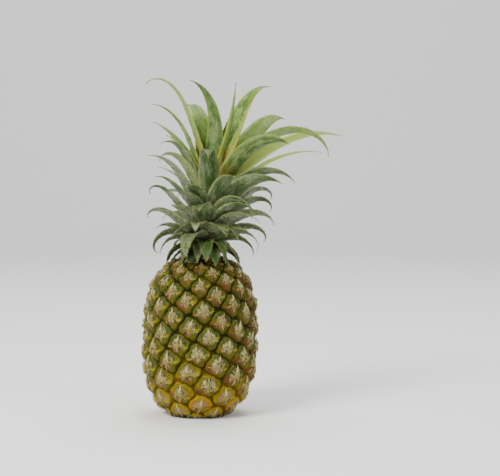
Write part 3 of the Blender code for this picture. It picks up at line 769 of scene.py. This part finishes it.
# Straw-coloured dry tissue, greener at the root, with brown, red and silvery bits among it. The
# sorts are 0 points, 1 wings, 2 hanging bits, 3 ragged bits, 4 the fringe at the base and 5 the
# neck's scales, so a span from 1.4 to 1.6 parts the wings from the hanging bits
def bractFinish():
    paint = bracts["colours"]
    dry = Finish("dryBract", paint["straw"], 0.62, 0.15)
    fine = dry.noise(1500, 4, 0.7)
    along, sort, tone = dry.mask("along"), dry.mask("sort"), dry.mask("tone")
    green = dry.times(dry.span(along, 0.05, 0.6, 1.0, 0.0), dry.span(sort, 1.4, 1.6, 1.0, 0.0))
    dry.layer(dry.times(green, 0.9), paint["green"])
    tip = dry.times(dry.span(along, 0.25, 0.6, 0.0, 0.85), dry.span(sort, 0.4, 0.6, 1.0, 0.0))
    dry.layer(tip, paint["tip"])
    dry.layer(dry.span(fine, 0.50, 0.66, 0.0, 0.7), paint["paleGrain"])
    dry.layer(dry.span(fine, 0.46, 0.34, 0.0, 0.8), paint["darkGrain"])
    wings = dry.times(dry.span(sort, 0.4, 0.6), dry.span(sort, 1.4, 1.6, 1.0, 0.0))
    dry.layer(dry.times(wings, dry.span(along, 0.45, 1.0, 0.0, 0.85)), paint["wingTip"])
    dry.layer(dry.times(wings, dry.span(tone, 0.0, 0.8, 0.0, 0.8)), paint["wingBrown"])
    hanging = dry.times(dry.span(sort, 1.4, 1.6), dry.span(sort, 2.4, 2.6, 1.0, 0.0))
    dry.layer(dry.times(hanging, 0.75), paint["hanging"])
    ragged = dry.span(sort, 2.4, 2.6)
    silver = dry.mixed(dry.span(tone, -0.2, 0.4), paint["silver"], paint["tan"])
    dry.layer(dry.times(ragged, dry.span(fine, 0.35, 0.6, 0.5, 0.95)), silver)
    dry.layer(dry.times(ragged, dry.span(tone, 0.25, 0.45, 0.0, 0.9)), paint["black"])
    dry.layer(dry.span(tone, 0.72, 0.98, 0.0, 0.5), paint["red"])
    dry.layer(dry.times(dry.span(along, 0.88, 1.0), 0.45), paint["burnt"])
    fringe = dry.times(dry.span(sort, 3.4, 3.6), dry.span(fine, 0.3, 0.6, 0.95, 0.5))
    dry.layer(fringe, paint["fringe"])
    scale = dry.span(sort, 4.4, 4.6)
    dry.layer(dry.times(scale, dry.span(tone, -0.6, 0.6, 0.0, 0.9)), paint["scale"])
    dry.layer(dry.times(scale, dry.span(along, 0.6, 1.0, 0.0, 0.6)), paint["scaleTip"])
    dry.bump(fine, 0.3 * mm, 0.5)
    return dry.done()


bractPiece = buildBracts()
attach(bractPiece, "root")
bractPiece.data.materials.append(bractFinish())
print("bracts made:", len(bractPiece.data.polygons), "faces")


# The crown: metres, radians, and what a line says
crown = {
    "lean": math.radians(6),
    "shift": 5.2 * mm,
    "stemHeight": 82 * mm,
    "stemShares": (0, 0.15, 0.45, 0.8, 1),
    "stemRadii": (10.5 * mm, 18 * mm, 17 * mm, 9 * mm, 4.5 * mm),
    "gap": 0.3 * mm,
    "rootSink": 6 * mm,
    "clear": 5.5 * mm,
    "channel": 0.17,
    "thick": 1.3 * mm,
    "edge": 0.5 * mm,
    "tipWidth": 0.9 * mm,
    "along": 72,  # points along a blade
    "half": 8,  # and across one of its faces
    "seed": 7,
    "spiralCount": 46,
    "spiralStart": math.radians(20),
    "spiralLowest": 4 * mm,
    "spiralHighest": 62 * mm,
    # these change with the stage from the lowest of the spiral's leaves to the highest, with
    # lengths in millimetres and tilts in degrees
    "spiralStages": (0, 0.25, 0.5, 0.75, 1),
    "spiralLong": (38, 58, 78, 98, 118),
    "spiralWide": (12, 16, 18, 19, 18),
    "spiralRoot": (72, 60, 50, 40, 26),
    "spiralTip": (165, 150, 138, 120, 98),
    "spiralBend": (1.1, 1.3, 1.5, 1.7, 2.1),
    "behind": 0.3,
    "sideShort": 0.35,
    "sideRoot": 22,
    "sideTip": 70,
    "curl": 110,
    "rubbed": (2, 3, 7, 36),  # the leaves whose bloom is worn most
    "greyer": (2, 7),  # the tall ones that are less yellow than the rest
    "pale": (9, 10),  # and the yellower ones
    "striped": (4, 5),  # and the ones with a yellow stripe along one margin
    "halfWorn": (3,),  # and the one whose right half has lost its bloom
    "youngHeights": (46 * mm, 66 * mm),  # from the lower to the upper the leaves grow fresher
    "oldHeights": (8 * mm, 24 * mm),  # and from the upper to the lower they grow duller
    "curlBelow": 85 * mm,  # longer leaves hardly curl at the tip
    "colours": {
        "green": (0.038, 0.060, 0.004),
        "bloom": (0.195, 0.230, 0.108),
        "dark": (0.032, 0.052, 0.005),
        "fresh": (0.14, 0.27, 0.018),
        "freshPale": (0.30, 0.45, 0.080),
        "streak": (0.20, 0.24, 0.08),
        "underside": (0.165, 0.195, 0.110),
        "scurf": (0.31, 0.33, 0.20),
        "darkGrain": (0.020, 0.032, 0.003),
        "dull": (0.024, 0.036, 0.005),
        "dullPale": (0.080, 0.098, 0.040),
        "rubbed": (0.018, 0.068, 0.0015),
        "bare": (0.020, 0.060, 0.0025),
        "pale": (0.43, 0.54, 0.095),
        "stripe": (0.40, 0.37, 0.008),
        "warmRoot": (0.42, 0.21, 0.004),
        "root": (0.10, 0.11, 0.014),
        "brown": (0.075, 0.035, 0.008),
        "rim": (0.31, 0.39, 0.02),
        "dryTip": (0.16, 0.12, 0.05),
    },
}

# turn, height up the stem, length, width, tilt at root and tip, bend, roll, fullness of the tip
# (millimetres and degrees)
placedLeaves = (
    # the tall ones in the middle, from left to right
    (178, 76, 142, 11, 17.4, 140, 6.0, 34, 2.2),
    (113, 62, 133, 24, 8, 120, 3.0, 0, 3.4),
    (-150, 62, 135, 22, -11.5, 70, 3.0, 50, 2.2),
    (-88, 48, 98, 21, 4, 150, 2.6, -4, 4.5),
    (20, 78, 109, 10, 26, 3, 1.0, -60, 2.0),
    (30, 72, 135, 21, 23.2, 103, 6.0, 45, 3.6),
    (45, 66, 142, 21, 43.7, 114, 5.0, 45, 5.0),
    # the long ones that arch to the right
    (-28, 64, 116, 19, 36, 120, 2.6, -50, 6.0),
    (0, 64, 163, 19, 38.3, 178, 2.8, -38, 2.4),
    (12, 60, 162, 20, 46, 109, 2.3, -48, 2.2),
    (5, 49, 134, 14, 39, 95, 1.5, -30, 2.0),
    (-12, 50, 104, 19, 39, 138, 2.0, -44, 2.4),
    (-36, 44, 102, 24, 43, 123, 2.0, -40, 2.4),
    (8, 33, 80, 19, 43, 180, 4.5, -45, 2.2),
    (-5, 26, 80, 17, 41, 152, 3.0, -45, 2.2),
    (-52, 38, 84, 18, 42, 150, 1.6, -20, 3.0),
    (-20, 24, 77, 16, 42, 120, 1.3, -45, 2.2),
    (-42, 24, 74, 16, 42, 128, 1.4, -30, 2.4),
    (0, 15, 68, 14, 46, 148, 1.5, -50, 2.2),
    (-25, 16, 64, 18, 52, 158, 1.4, -35, 2.4),
    (-20, 12, 56, 19, 50, 165, 1.2, -30, 2.6),
    (-35, 9, 46, 17, 60, 172, 1.0, -25, 2.6),
    (0, 7, 40, 17, 68, 178, 1.0, -35, 2.6),
    # the left side, from the top down
    (172, 62, 121, 13, 15.5, 84, 3.5, 38, 2.0),
    (190, 60, 100, 13, 16, 62, 1.7, 40, 2.2),
    (200, 52, 92, 15, 17, 140, 5.0, 40, 2.2),
    (184, 42, 88, 15, 21, 92, 3.0, 46, 2.0),
    (200, 56, 82, 13, 24, 150, 4.0, 40, 2.4),
    (192, 41, 66, 12, 30, 60, 1.6, 34, 2.2),
    (184, 32, 74, 12, 38, 195, 6.5, 46, 2.2),
    (178, 20, 66, 14, 42, 132, 3.0, 50, 1.9),
    (192, 19, 45, 14, 52, 112, 2.2, 40, 2.4),
    (184, 15, 62, 13, 32, 176, 1.0, 46, 2.2),
    (196, 13, 48, 20, 38, 172, 1.0, 28, 2.6),
    (190, 8, 42, 16, 54, 186, 1.0, 28, 2.6),
    # the front, from the top down to the tongues that hang over the fruit
    (-113, 41, 64, 20, 22, 115, 1.8, 10, 3.0),
    (-62, 43, 88, 20, 28, 130, 2.0, -15, 3.0),
    (-97, 33, 52, 21, 34, 105, 1.6, 8, 6.0),
    (-132, 28, 52, 19, 32, 100, 1.6, 20, 3.0),
    (-42, 30, 66, 20, 40, 112, 1.6, -30, 3.0),
    (-112, 18, 56, 22, 40, 180, 1.0, 8, 3.4),
    (-86, 13, 46, 18, 45, 180, 0.9, 0, 2.6),
    (-72, 10, 42, 17, 52, 180, 0.9, -5, 3.4),
    (-50, 8, 40, 15, 56, 178, 0.9, -20, 2.6),
    (-108, 7, 42, 17, 60, 180, 0.8, 5, 3.6),
    (-156, 6, 44, 18, 62, 180, 0.9, 20, 3.0),
    (-64, 21, 50, 20, 36, 155, 1.4, -10, 4.0),
    (-104, 23, 40, 20, 28, 150, 1.5, 8, 3.0),
    (-48, 20, 50, 18, 38, 160, 1.3, -20, 3.0),
    (-132, 20, 46, 18, 34, 160, 1.3, 20, 3.0),
    (-122, 36, 60, 19, 24, 110, 1.7, 20, 2.6),
    (-98, 12, 42, 16, 48, 178, 0.9, 4, 2.6),
    (-58, 13, 42, 15, 48, 175, 0.9, -12, 2.6),
    (-122, 11, 42, 15, 50, 178, 0.9, 10, 2.6),
    (-84, 5, 34, 14, 62, 182, 0.8, 0, 2.6),
)


# Every leaf as one row of numbers: the placed ones, then the ones behind in spiral order
def leafTable():
    rows = [
        (math.radians(turn), high * mm, long * mm, wide * mm, root, tip, bend, roll, full)
        for turn, high, long, wide, root, tip, bend, roll, full in placedLeaves
    ]
    draw = np.random.RandomState(crown["seed"])

    def spiral(name, stage):
        return np.interp(stage, crown["spiralStages"], crown[name])

    for k in range(crown["spiralCount"]):
        stage = k / (crown["spiralCount"] - 1)
        turn = crown["spiralStart"] - goldenTurn * k
        longer, wider, leant, curled = draw.uniform(-1, 1, 4)
        if math.sin(turn) < crown["behind"]:
            continue
        high = crown["spiralLowest"] + (crown["spiralHighest"] - crown["spiralLowest"]) * stage
        long = spiral("spiralLong", stage) * mm * (1 + 0.10 * longer)
        long *= 1 - crown["sideShort"] * math.cos(turn) ** 2
        wide = spiral("spiralWide", stage) * mm * (1 + 0.06 * wider)
        root = spiral("spiralRoot", stage) + 3 * leant
        tip = spiral("spiralTip", stage) + 9 * curled
        root -= crown["sideRoot"] * stage * math.cos(turn) ** 2
        tip -= crown["sideTip"] * stage * math.cos(turn) ** 2
        bend = spiral("spiralBend", stage)
        rows.append((turn, high, long, wide, root, tip, bend, 25 * math.sin(5 * k), 2.4))
    return np.array(rows)


# The stem's middle and radius at a height: it leans in step with the height, and its radius runs
# straight between the given ones
def stemAt(height):
    radius = np.interp(height / crown["stemHeight"], crown["stemShares"], crown["stemRadii"])
    x = crown["shift"] + math.tan(crown["lean"]) * height
    return np.stack([x, 0 * height, barrelTop + crown["gap"] + height], -1), radius


# Least height of a leaf's middle over the fruit's shoulder at a radius
def shoulderAt(radius):
    upper = barrelZ > fruit["bellyHeight"]
    return np.interp(radius, barrelR[upper][::-1], barrelZ[upper][::-1]) + crown["clear"]


# Middle lines of all leaves at once: the tilt grows from root to tip as share to the power bend
def leafLines(table):
    turn, high, long, _, root, tip, bend = table.T[:7]
    middle, radius = stemAt(high)
    out = np.stack([np.cos(turn), np.sin(turn), 0 * turn], 1)
    spot = middle + out * np.maximum(0, radius - crown["rootSink"])[:, None]
    curl = np.random.RandomState(crown["seed"] + 3).uniform(-0.4, 1, len(turn)) * crown["curl"]
    curl = np.where(long > crown["curlBelow"], 0.1, 1) * curl
    lines, alongs = [], []
    for n in range(crown["along"]):
        share = n / (crown["along"] - 1)
        tilt = np.radians(root + (tip - root) * share**bend + curl * share**9)[:, None]
        along = out * np.sin(tilt) + np.array([[0, 0, 1]]) * np.cos(tilt)
        if n:
            step = along + alongs[-1]
            step *= (0.994 * long / (crown["along"] - 1) / np.linalg.norm(step, axis=1))[:, None]
            spot = spot + step
            floor = shoulderAt(np.hypot(spot[:, 0] - fruit["lean"], spot[:, 1]))
            spot[:, 2] = np.maximum(spot[:, 2], floor)
        lines.append(spot.copy())
        alongs.append(along)
    return np.stack(lines, 1), np.stack(alongs, 1)


# Share of the full width along a blade: it swells by a quarter of a sine wave near the root, times
# nearly 1 less the share to a power, which draws it out to a point
def bladeWidth(share, full):
    broad = 0.86 + 0.14 * np.sin(math.pi * np.minimum(share / 0.4, 1) / 2)
    return broad * (1 - share**full) ** 1.15


# Blades with a channelled section, an upper face from edge to edge and a lower one back: its
# height is the channel's depth times the square of the place across, plus or minus half the
# thickness, and a wave along the edges
def buildLeaves():
    table = leafTable()
    lines, alongs = leafLines(table)
    count, rows = lines.shape[:2]
    share = np.linspace(0, 1, rows)
    draw = np.random.RandomState(crown["seed"] + 1).uniform(-1, 1, (count, 6))
    turn = table[:, 0]
    side = np.stack([-np.sin(turn), np.cos(turn), 0 * turn], 1)[:, None]
    upper = np.cross(alongs, np.broadcast_to(side, alongs.shape))
    twist = np.radians(table[:, 7:8]) * np.sin(math.pi / 2 * np.minimum(share / 0.4, 1))[None]
    twist = twist + np.radians(14) * draw[:, :1] * share[None] ** 1.5
    turnedSide = side * np.cos(twist)[..., None] + upper * np.sin(twist)[..., None]
    turnedUp = upper * np.cos(twist)[..., None] - side * np.sin(twist)[..., None]
    half = np.maximum(table[:, 3:4] * bladeWidth(share[None], table[:, 8:9]), crown["tipWidth"]) / 2
    n = crown["half"]
    across = np.concatenate([np.linspace(-1, 1, n), np.linspace(1, -1, n)])
    face = np.concatenate([np.ones(n), -np.ones(n)])
    thick = crown["thick"] * (1 - 0.55 * share)[None, :, None] * (1 - 0.75 * across**2)[None, None]
    thick = np.maximum(thick, crown["edge"] * (1 - 0.4 * share)[None, :, None])
    raised = 2 * half * crown["channel"] * (1 - 0.75 * share)[None]
    wave = np.sin(share[None] * (50 + 14 * draw[:, 1:2]) + 3 * draw[:, 2:3])
    wave = 0.7 * mm * wave * half / table[:, 3:4]
    rise = raised[..., None] * across**2 + face * thick / 2
    rise = rise + wave[..., None] * (np.sign(across) * np.abs(across) ** 3)
    points = (
        lines[:, :, None]
        + turnedSide[:, :, None] * (half[..., None] * across)[..., None]
        + turnedUp[:, :, None] * rise[..., None]
    )
    cols = 2 * n
    quads = ringQuads(rows, cols)
    step = rows * cols
    faces = (quads[None] + np.arange(count)[:, None, None] * step).reshape(-1, 4).tolist()
    for leaf in range(count):
        faces.append([leaf * step + c for c in range(cols)][::-1])
        faces.append([leaf * step + (rows - 1) * cols + c for c in range(cols)])
    piece = meshObject("leaves", points, faces)
    shape = (count, rows, cols)
    length = table[:, 2][:, None, None]
    place = np.stack(
        [
            np.broadcast_to(half[..., None] * across, shape),
            np.broadcast_to(share[None, :, None] * length, shape),
            np.broadcast_to(np.arange(count)[:, None, None] * 0.37, shape),
        ],
        -1,
    )
    addVector(piece, "blade", place)
    young = ease(table[:, 1], *crown["youngHeights"]) * ease(-table[:, 4], -70, -30)
    young[list(crown["greyer"])] *= 0.72
    lowest, highest = crown["oldHeights"]
    rubbed = draw[:, 4].copy()
    rubbed[list(crown["rubbed"])] = 1
    number = np.arange(count)

    # a value for each leaf, the same all over it
    def perLeaf(values):
        return values[:, None, None]

    masks = {
        "across": np.abs(across),
        "along": share[None, :, None],
        "under": face < 0,
        "tone": perLeaf(draw[:, 3]),
        "young": perLeaf(young),
        "old": perLeaf(ease(-table[:, 1], -highest, -lowest)),
        "rubbed": perLeaf(rubbed),
        "pale": perLeaf(np.isin(number, crown["pale"])),
        "deep": perLeaf(np.isin(number, crown["halfWorn"])) * ease(across, -0.12, 0.15),
        "stripe": perLeaf(np.isin(number, crown["striped"])) * ease(-across, 0.5, 0.9),
    }
    for name, values in masks.items():
        addMask(piece, name, np.broadcast_to(values, shape))
    return piece, table, lines, alongs, turnedSide, turnedUp, half, raised


# Grey-green blades with a pale bloom, worn darker in places, warm at the root and pale at the rim
def leafFinish():
    paint = crown["colours"]
    leaf = Finish("leafBlade", paint["green"], 0.5, 0.2)
    blade = leaf.vector("blade")
    streak = leaf.noise(1.0, 3, 0.6, (2600, 60, 40), blade)
    cloud = leaf.noise(1.0, 4, 0.62, (190, 80, 40), blade)
    patchy = leaf.noise(1.0, 6, 0.75, (210, 55, 40), blade)
    grain = leaf.noise(1.0, 4, 0.75, (620, 300, 40), blade)
    along, across = leaf.mask("along"), leaf.mask("across")
    tone, under = leaf.mask("tone"), leaf.mask("under")
    young, old = leaf.mask("young"), leaf.mask("old")
    leaf.layer(leaf.span(cloud, 0.40, 0.64), paint["bloom"])
    leaf.layer(leaf.span(tone, -1, 1, 0.0, 0.45), paint["dark"])
    fresh = leaf.mixed(leaf.span(cloud, 0.3, 0.7), paint["fresh"], paint["freshPale"])
    leaf.layer(leaf.times(young, 0.85), fresh)
    leaf.layer(leaf.times(leaf.span(streak, 0.35, 0.75), 0.30), paint["streak"])
    bloom = leaf.times(under, leaf.span(cloud, 0.3, 0.6, 0.25, 0.8))
    leaf.layer(leaf.times(bloom, leaf.span(young, 0.0, 1.0, 1.0, 0.35)), paint["underside"])
    grey = leaf.span(young, 0.0, 1.0, 1.0, 0.3)
    leaf.layer(leaf.times(leaf.span(grain, 0.50, 0.60, 0.0, 0.75), grey), paint["scurf"])
    leaf.layer(leaf.times(leaf.span(grain, 0.46, 0.38, 0.0, 0.6), grey), paint["darkGrain"])
    dull = leaf.mixed(leaf.span(cloud, 0.35, 0.65), paint["dull"], paint["dullPale"])
    leaf.layer(leaf.times(old, 0.7), dull)
    worn = leaf.plus(patchy, leaf.span(grain, 0.3, 0.7, -0.14, 0.14))
    worn = leaf.plus(worn, leaf.span(streak, 0.3, 0.7, -0.06, 0.06))
    rubbed = leaf.times(leaf.span(worn, 0.43, 0.60), leaf.span(across, 0.99, 0.7))
    rubbed = leaf.times(rubbed, leaf.span(leaf.mask("rubbed"), -0.3, 0.3, 0.0, 0.9))
    leaf.layer(rubbed, paint["rubbed"])
    bare = leaf.times(leaf.mask("deep"), leaf.span(worn, 0.40, 0.60, 0.12, 0.8))
    leaf.layer(leaf.times(bare, leaf.span(grain, 0.62, 0.45, 0.35, 1.0)), paint["bare"])
    leaf.layer(leaf.times(leaf.mask("pale"), 0.8), paint["pale"])
    stripe = leaf.times(leaf.mask("stripe"), leaf.span(along, 1.0, 0.4, 0.0, 0.85))
    leaf.layer(stripe, paint["stripe"])
    warm = leaf.times(leaf.span(along, 0.40, 0.05), leaf.span(young, 0.30, 0.9))
    leaf.layer(leaf.times(warm, 0.9), paint["warmRoot"])
    leaf.layer(leaf.times(leaf.span(along, 0.16, 0.0), 0.6), paint["root"])
    brown = leaf.times(leaf.span(grain, 0.64, 0.68), leaf.span(patchy, 0.52, 0.6))
    leaf.layer(leaf.times(brown, 0.8), paint["brown"])
    rim = leaf.times(leaf.span(across, 0.88, 0.98), leaf.span(young, 0.0, 1.0, 0.22, 0.7))
    leaf.layer(rim, paint["rim"])
    leaf.layer(leaf.times(leaf.span(along, 0.90, 1.0), 0.7), paint["dryTip"])
    leaf.bump(streak, 0.25 * mm, 0.7)
    leaf.bump(grain, 0.5 * mm, 0.5)
    leaf.roughness(leaf.span(patchy, 0.3, 0.7, 0.56, 0.36))
    return leaf.done()


leaves, leafRows, leafLine, leafAlong, leafSide, leafUp, leafHalf, leafRaised = buildLeaves()
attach(leaves, "root")
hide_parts("crown")
leaves.data.materials.append(leafFinish())
print("leaves made:", len(leafRows), "blades,", len(leaves.data.polygons), "faces")


# The small spines along the leaves' margins
spines = {
    "apart": 3.6 * mm,
    "long": 1.15 * mm,
    "foot": 0.62 * mm,
    "from": 0.05,
    "to": 0.93,
    "seed": 5,
    "colours": {"horn": (0.20, 0.23, 0.035), "pale": (0.30, 0.29, 0.08), "tip": (0.20, 0.12, 0.04)},
}


# Small closed pyramids: two feet on the margin, one on the blade, and a tip that points out and on,
# at places along the margin found between the blade's points in proportion
def buildSpines():
    armed = spines["to"] - spines["from"]
    counts = np.maximum(4, (armed * leafRows[:, 2] / spines["apart"]).astype(int))
    leaf = np.repeat(np.arange(len(counts)), counts)
    first = np.repeat(np.cumsum(counts) - counts, counts)
    share = spines["from"] + armed * (np.arange(len(leaf)) - first) / counts[leaf]
    draw = np.random.RandomState(spines["seed"]).uniform(-1, 1, (2, len(leaf), 2))
    clouds = []
    for hand, loose in zip((-1, 1), draw):
        place = np.clip(share + 0.006 * loose[:, 0], 0, 1) * (crown["along"] - 1)
        low = np.minimum(place.astype(int), crown["along"] - 2)
        part = (place - low)[:, None]

        def between(values):
            return values[leaf, low] * (1 - part) + values[leaf, low + 1] * part

        middle, along = between(leafLine), between(leafAlong)
        side, up = between(leafSide), between(leafUp)
        half, raised = between(leafHalf[..., None]), between(leafRaised[..., None])
        margin = middle + side * half * hand + up * raised
        long = spines["long"] * (1 + 0.3 * loose[:, 1:]) * np.minimum(1, half / (3 * mm))
        foot = spines["foot"] * np.minimum(1, half / (2.5 * mm))
        inner = margin - side * hand * 0.5 * foot + up * 0.25 * mm
        feet = [margin - along * foot, margin + along * foot, inner]
        tip = margin + side * hand * long + along * 0.8 * long + up * 0.3 * long
        clouds.append(np.stack([f - side * hand * 0.15 * mm for f in feet] + [tip], 1))
    points = np.concatenate(clouds)
    corners = np.array([[0, 1, 3], [1, 2, 3], [2, 0, 3], [0, 2, 1]])
    turned = corners[:, ::-1]
    count = len(leaf)
    number = np.arange(2 * count)[:, None, None]
    faces = np.where(number < count, turned[None], corners[None]) + 4 * number
    piece = meshObject("leafSpines", points, faces.reshape(-1, 3))
    addMask(piece, "tip", np.broadcast_to(np.array([0, 0, 0, 1]), (2 * count, 4)))
    return piece


# Yellowish horn with a browner tip
def spineFinish():
    paint = spines["colours"]
    horn = Finish("spineHorn", paint["horn"], 0.5, 0.3)
    mottle = horn.noise(500, 2, 0.5)
    horn.layer(horn.span(mottle, 0.4, 0.6, 0.0, 0.6), paint["pale"])
    horn.layer(horn.times(horn.mask("tip"), 0.7), paint["tip"])
    return horn.done()


leafSpines = buildSpines()
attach(leafSpines, "root")
leafSpines.data.materials.append(spineFinish())
print("spines made:", len(leafSpines.data.polygons), "faces")


# The stem inside the crown, which shows only between the leaves
stem = {
    "rows": 90,
    "around": 120,
    "grow": 0.97,
    "scars": 0.03,
    "colours": {"green": (0.020, 0.024, 0.006), "mottle": (0.060, 0.062, 0.018)},
}


# Rings round the stem's leaning middle, a little inside its solid, each point out by the radius
# times 1 plus the product of two sine waves that cross
def buildStem():
    height = np.linspace(0, crown["stemHeight"], stem["rows"])
    middle, radius = stemAt(height)
    turn = np.linspace(0, 2 * math.pi, stem["around"], endpoint=False)
    # scars of old leaf bases in two crossing spirals
    rising, falling = 8 * turn[None] + 620 * height[:, None], 5 * turn[None] - 480 * height[:, None]
    ripple = 1 + stem["scars"] * np.sin(rising) * np.sin(falling)
    ring = np.stack([np.cos(turn), np.sin(turn), 0 * turn], 1)
    points = middle[:, None] + ring[None] * (radius[:, None] * stem["grow"] * ripple)[..., None]
    faces = ringQuads(stem["rows"], stem["around"]).tolist()
    faces.append(list(range(stem["around"]))[::-1])
    faces.append(list(range((stem["rows"] - 1) * stem["around"], stem["rows"] * stem["around"])))
    return meshObject("crownStem", points, faces)


# Dark green skin, mottled paler
def stemFinish():
    pith = Finish("stemSkin", stem["colours"]["green"], 0.65, 0.3)
    mottle = pith.noise(260, 4, 0.6)
    pith.layer(pith.span(mottle, 0.35, 0.7), stem["colours"]["mottle"])
    pith.bump(mottle, 0.8 * mm, 0.5)
    return pith.done()


crownStem = buildStem()
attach(crownStem, "root")
crownStem.data.materials.append(stemFinish())
print("stem made")


# The cut stalk, which keeps its solid and gets a fibrous face
cutStalk = {"straw": (0.45, 0.36, 0.20), "fibre": (0.30, 0.20, 0.09), "stain": (0.14, 0.09, 0.045)}


# Straw-coloured fibres with darker stains
def stalkFinish():
    wood = Finish("cutFibre", cutStalk["straw"], 0.85, 0.2)
    fibre = wood.noise(900, 3, 0.6, (1, 1, 0.1))
    stain = wood.noise(140, 4, 0.6)
    wood.layer(wood.span(fibre, 0.4, 0.6, 0.0, 0.7), cutStalk["fibre"])
    wood.layer(wood.span(stain, 0.45, 0.7, 0.0, 0.8), cutStalk["stain"])
    wood.bump(fibre, 0.6 * mm, 0.6)
    return wood.done()


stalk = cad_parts["stalk"]
stalkLook = stalkFinish()
for index in range(len(stalk.data.materials)):
    stalk.data.materials[index] = stalkLook
if not len(stalk.data.materials):
    stalk.data.materials.append(stalkLook)
print("stalk finished")


# Floor, light and camera
stage = {"floor": (0.97, 0.97, 0.965), "size": 5.0, "back": 2.2, "bend": 0.8}


# A sheet that runs back along the floor and sweeps up behind in a quarter circle
def buildFloor():
    bend = np.linspace(0, math.pi / 2, 24)
    size, back, radius = stage["size"], stage["back"], stage["bend"]
    y = np.concatenate([[-size], back + radius * np.sin(bend), [back + radius]])
    z = np.concatenate([[0], radius * (1 - np.cos(bend)), [size]])
    rows = len(y)
    points = np.stack([np.stack([np.full(rows, x), y, z], 1) for x in (-size, size)], 1)
    row = np.arange(rows - 1)
    quads = np.stack([row * 2, row * 2 + 1, row * 2 + 3, row * 2 + 2], 1)
    floor = meshObject("floor", points, quads)
    paper = Finish("paleFloor", stage["floor"], 0.9, 0.1)
    floor.data.materials.append(paper.done())
    return floor


buildFloor()

lights = (
    {"name": "key", "spot": (-1.2, -1.5, 1.7), "size": 1.1, "power": 73, "colour": (1, 0.985, 0.95)},
    {"name": "fill", "spot": (1.8, -1.4, 0.9), "size": 1.6, "power": 16, "colour": (0.97, 0.99, 1)},
    {"name": "top", "spot": (0.2, 0.6, 2.2), "size": 1.5, "power": 36, "colour": (1, 1, 1)},
)
aim = Vector((0.0539, 0.0, 0.1847))
for lamp in lights:
    data = bpy.data.lights.new(lamp["name"], "AREA")
    data.shape = "DISK"
    data.size = lamp["size"]
    data.energy = lamp["power"]
    data.color = lamp["colour"]
    light = bpy.data.objects.new(lamp["name"], data)
    light.location = lamp["spot"]
    light.rotation_euler = (aim - light.location).to_track_quat("-Z", "Y").to_euler()
    bpy.context.scene.collection.objects.link(light)

world = bpy.data.worlds.new("studio")
world.use_nodes = True
world.node_tree.nodes["Background"].inputs["Color"].default_value = (1, 1, 1, 1)
world.node_tree.nodes["Background"].inputs["Strength"].default_value = 0.5
bpy.context.scene.world = world

view = {"distance": 1.6, "rise": math.radians(4), "lens": 110.4, "sensor": 36.0}
lens = bpy.data.cameras.new("camera")
lens.lens = view["lens"]
lens.sensor_width = view["sensor"]
camera = bpy.data.objects.new("camera", lens)
away = Vector((0, -math.cos(view["rise"]), math.sin(view["rise"])))
camera.location = aim + away * view["distance"]
camera.rotation_euler = (aim - camera.location).to_track_quat("-Z", "Y").to_euler()
bpy.context.scene.collection.objects.link(camera)
bpy.context.scene.camera = camera
print("stage, light and camera set")
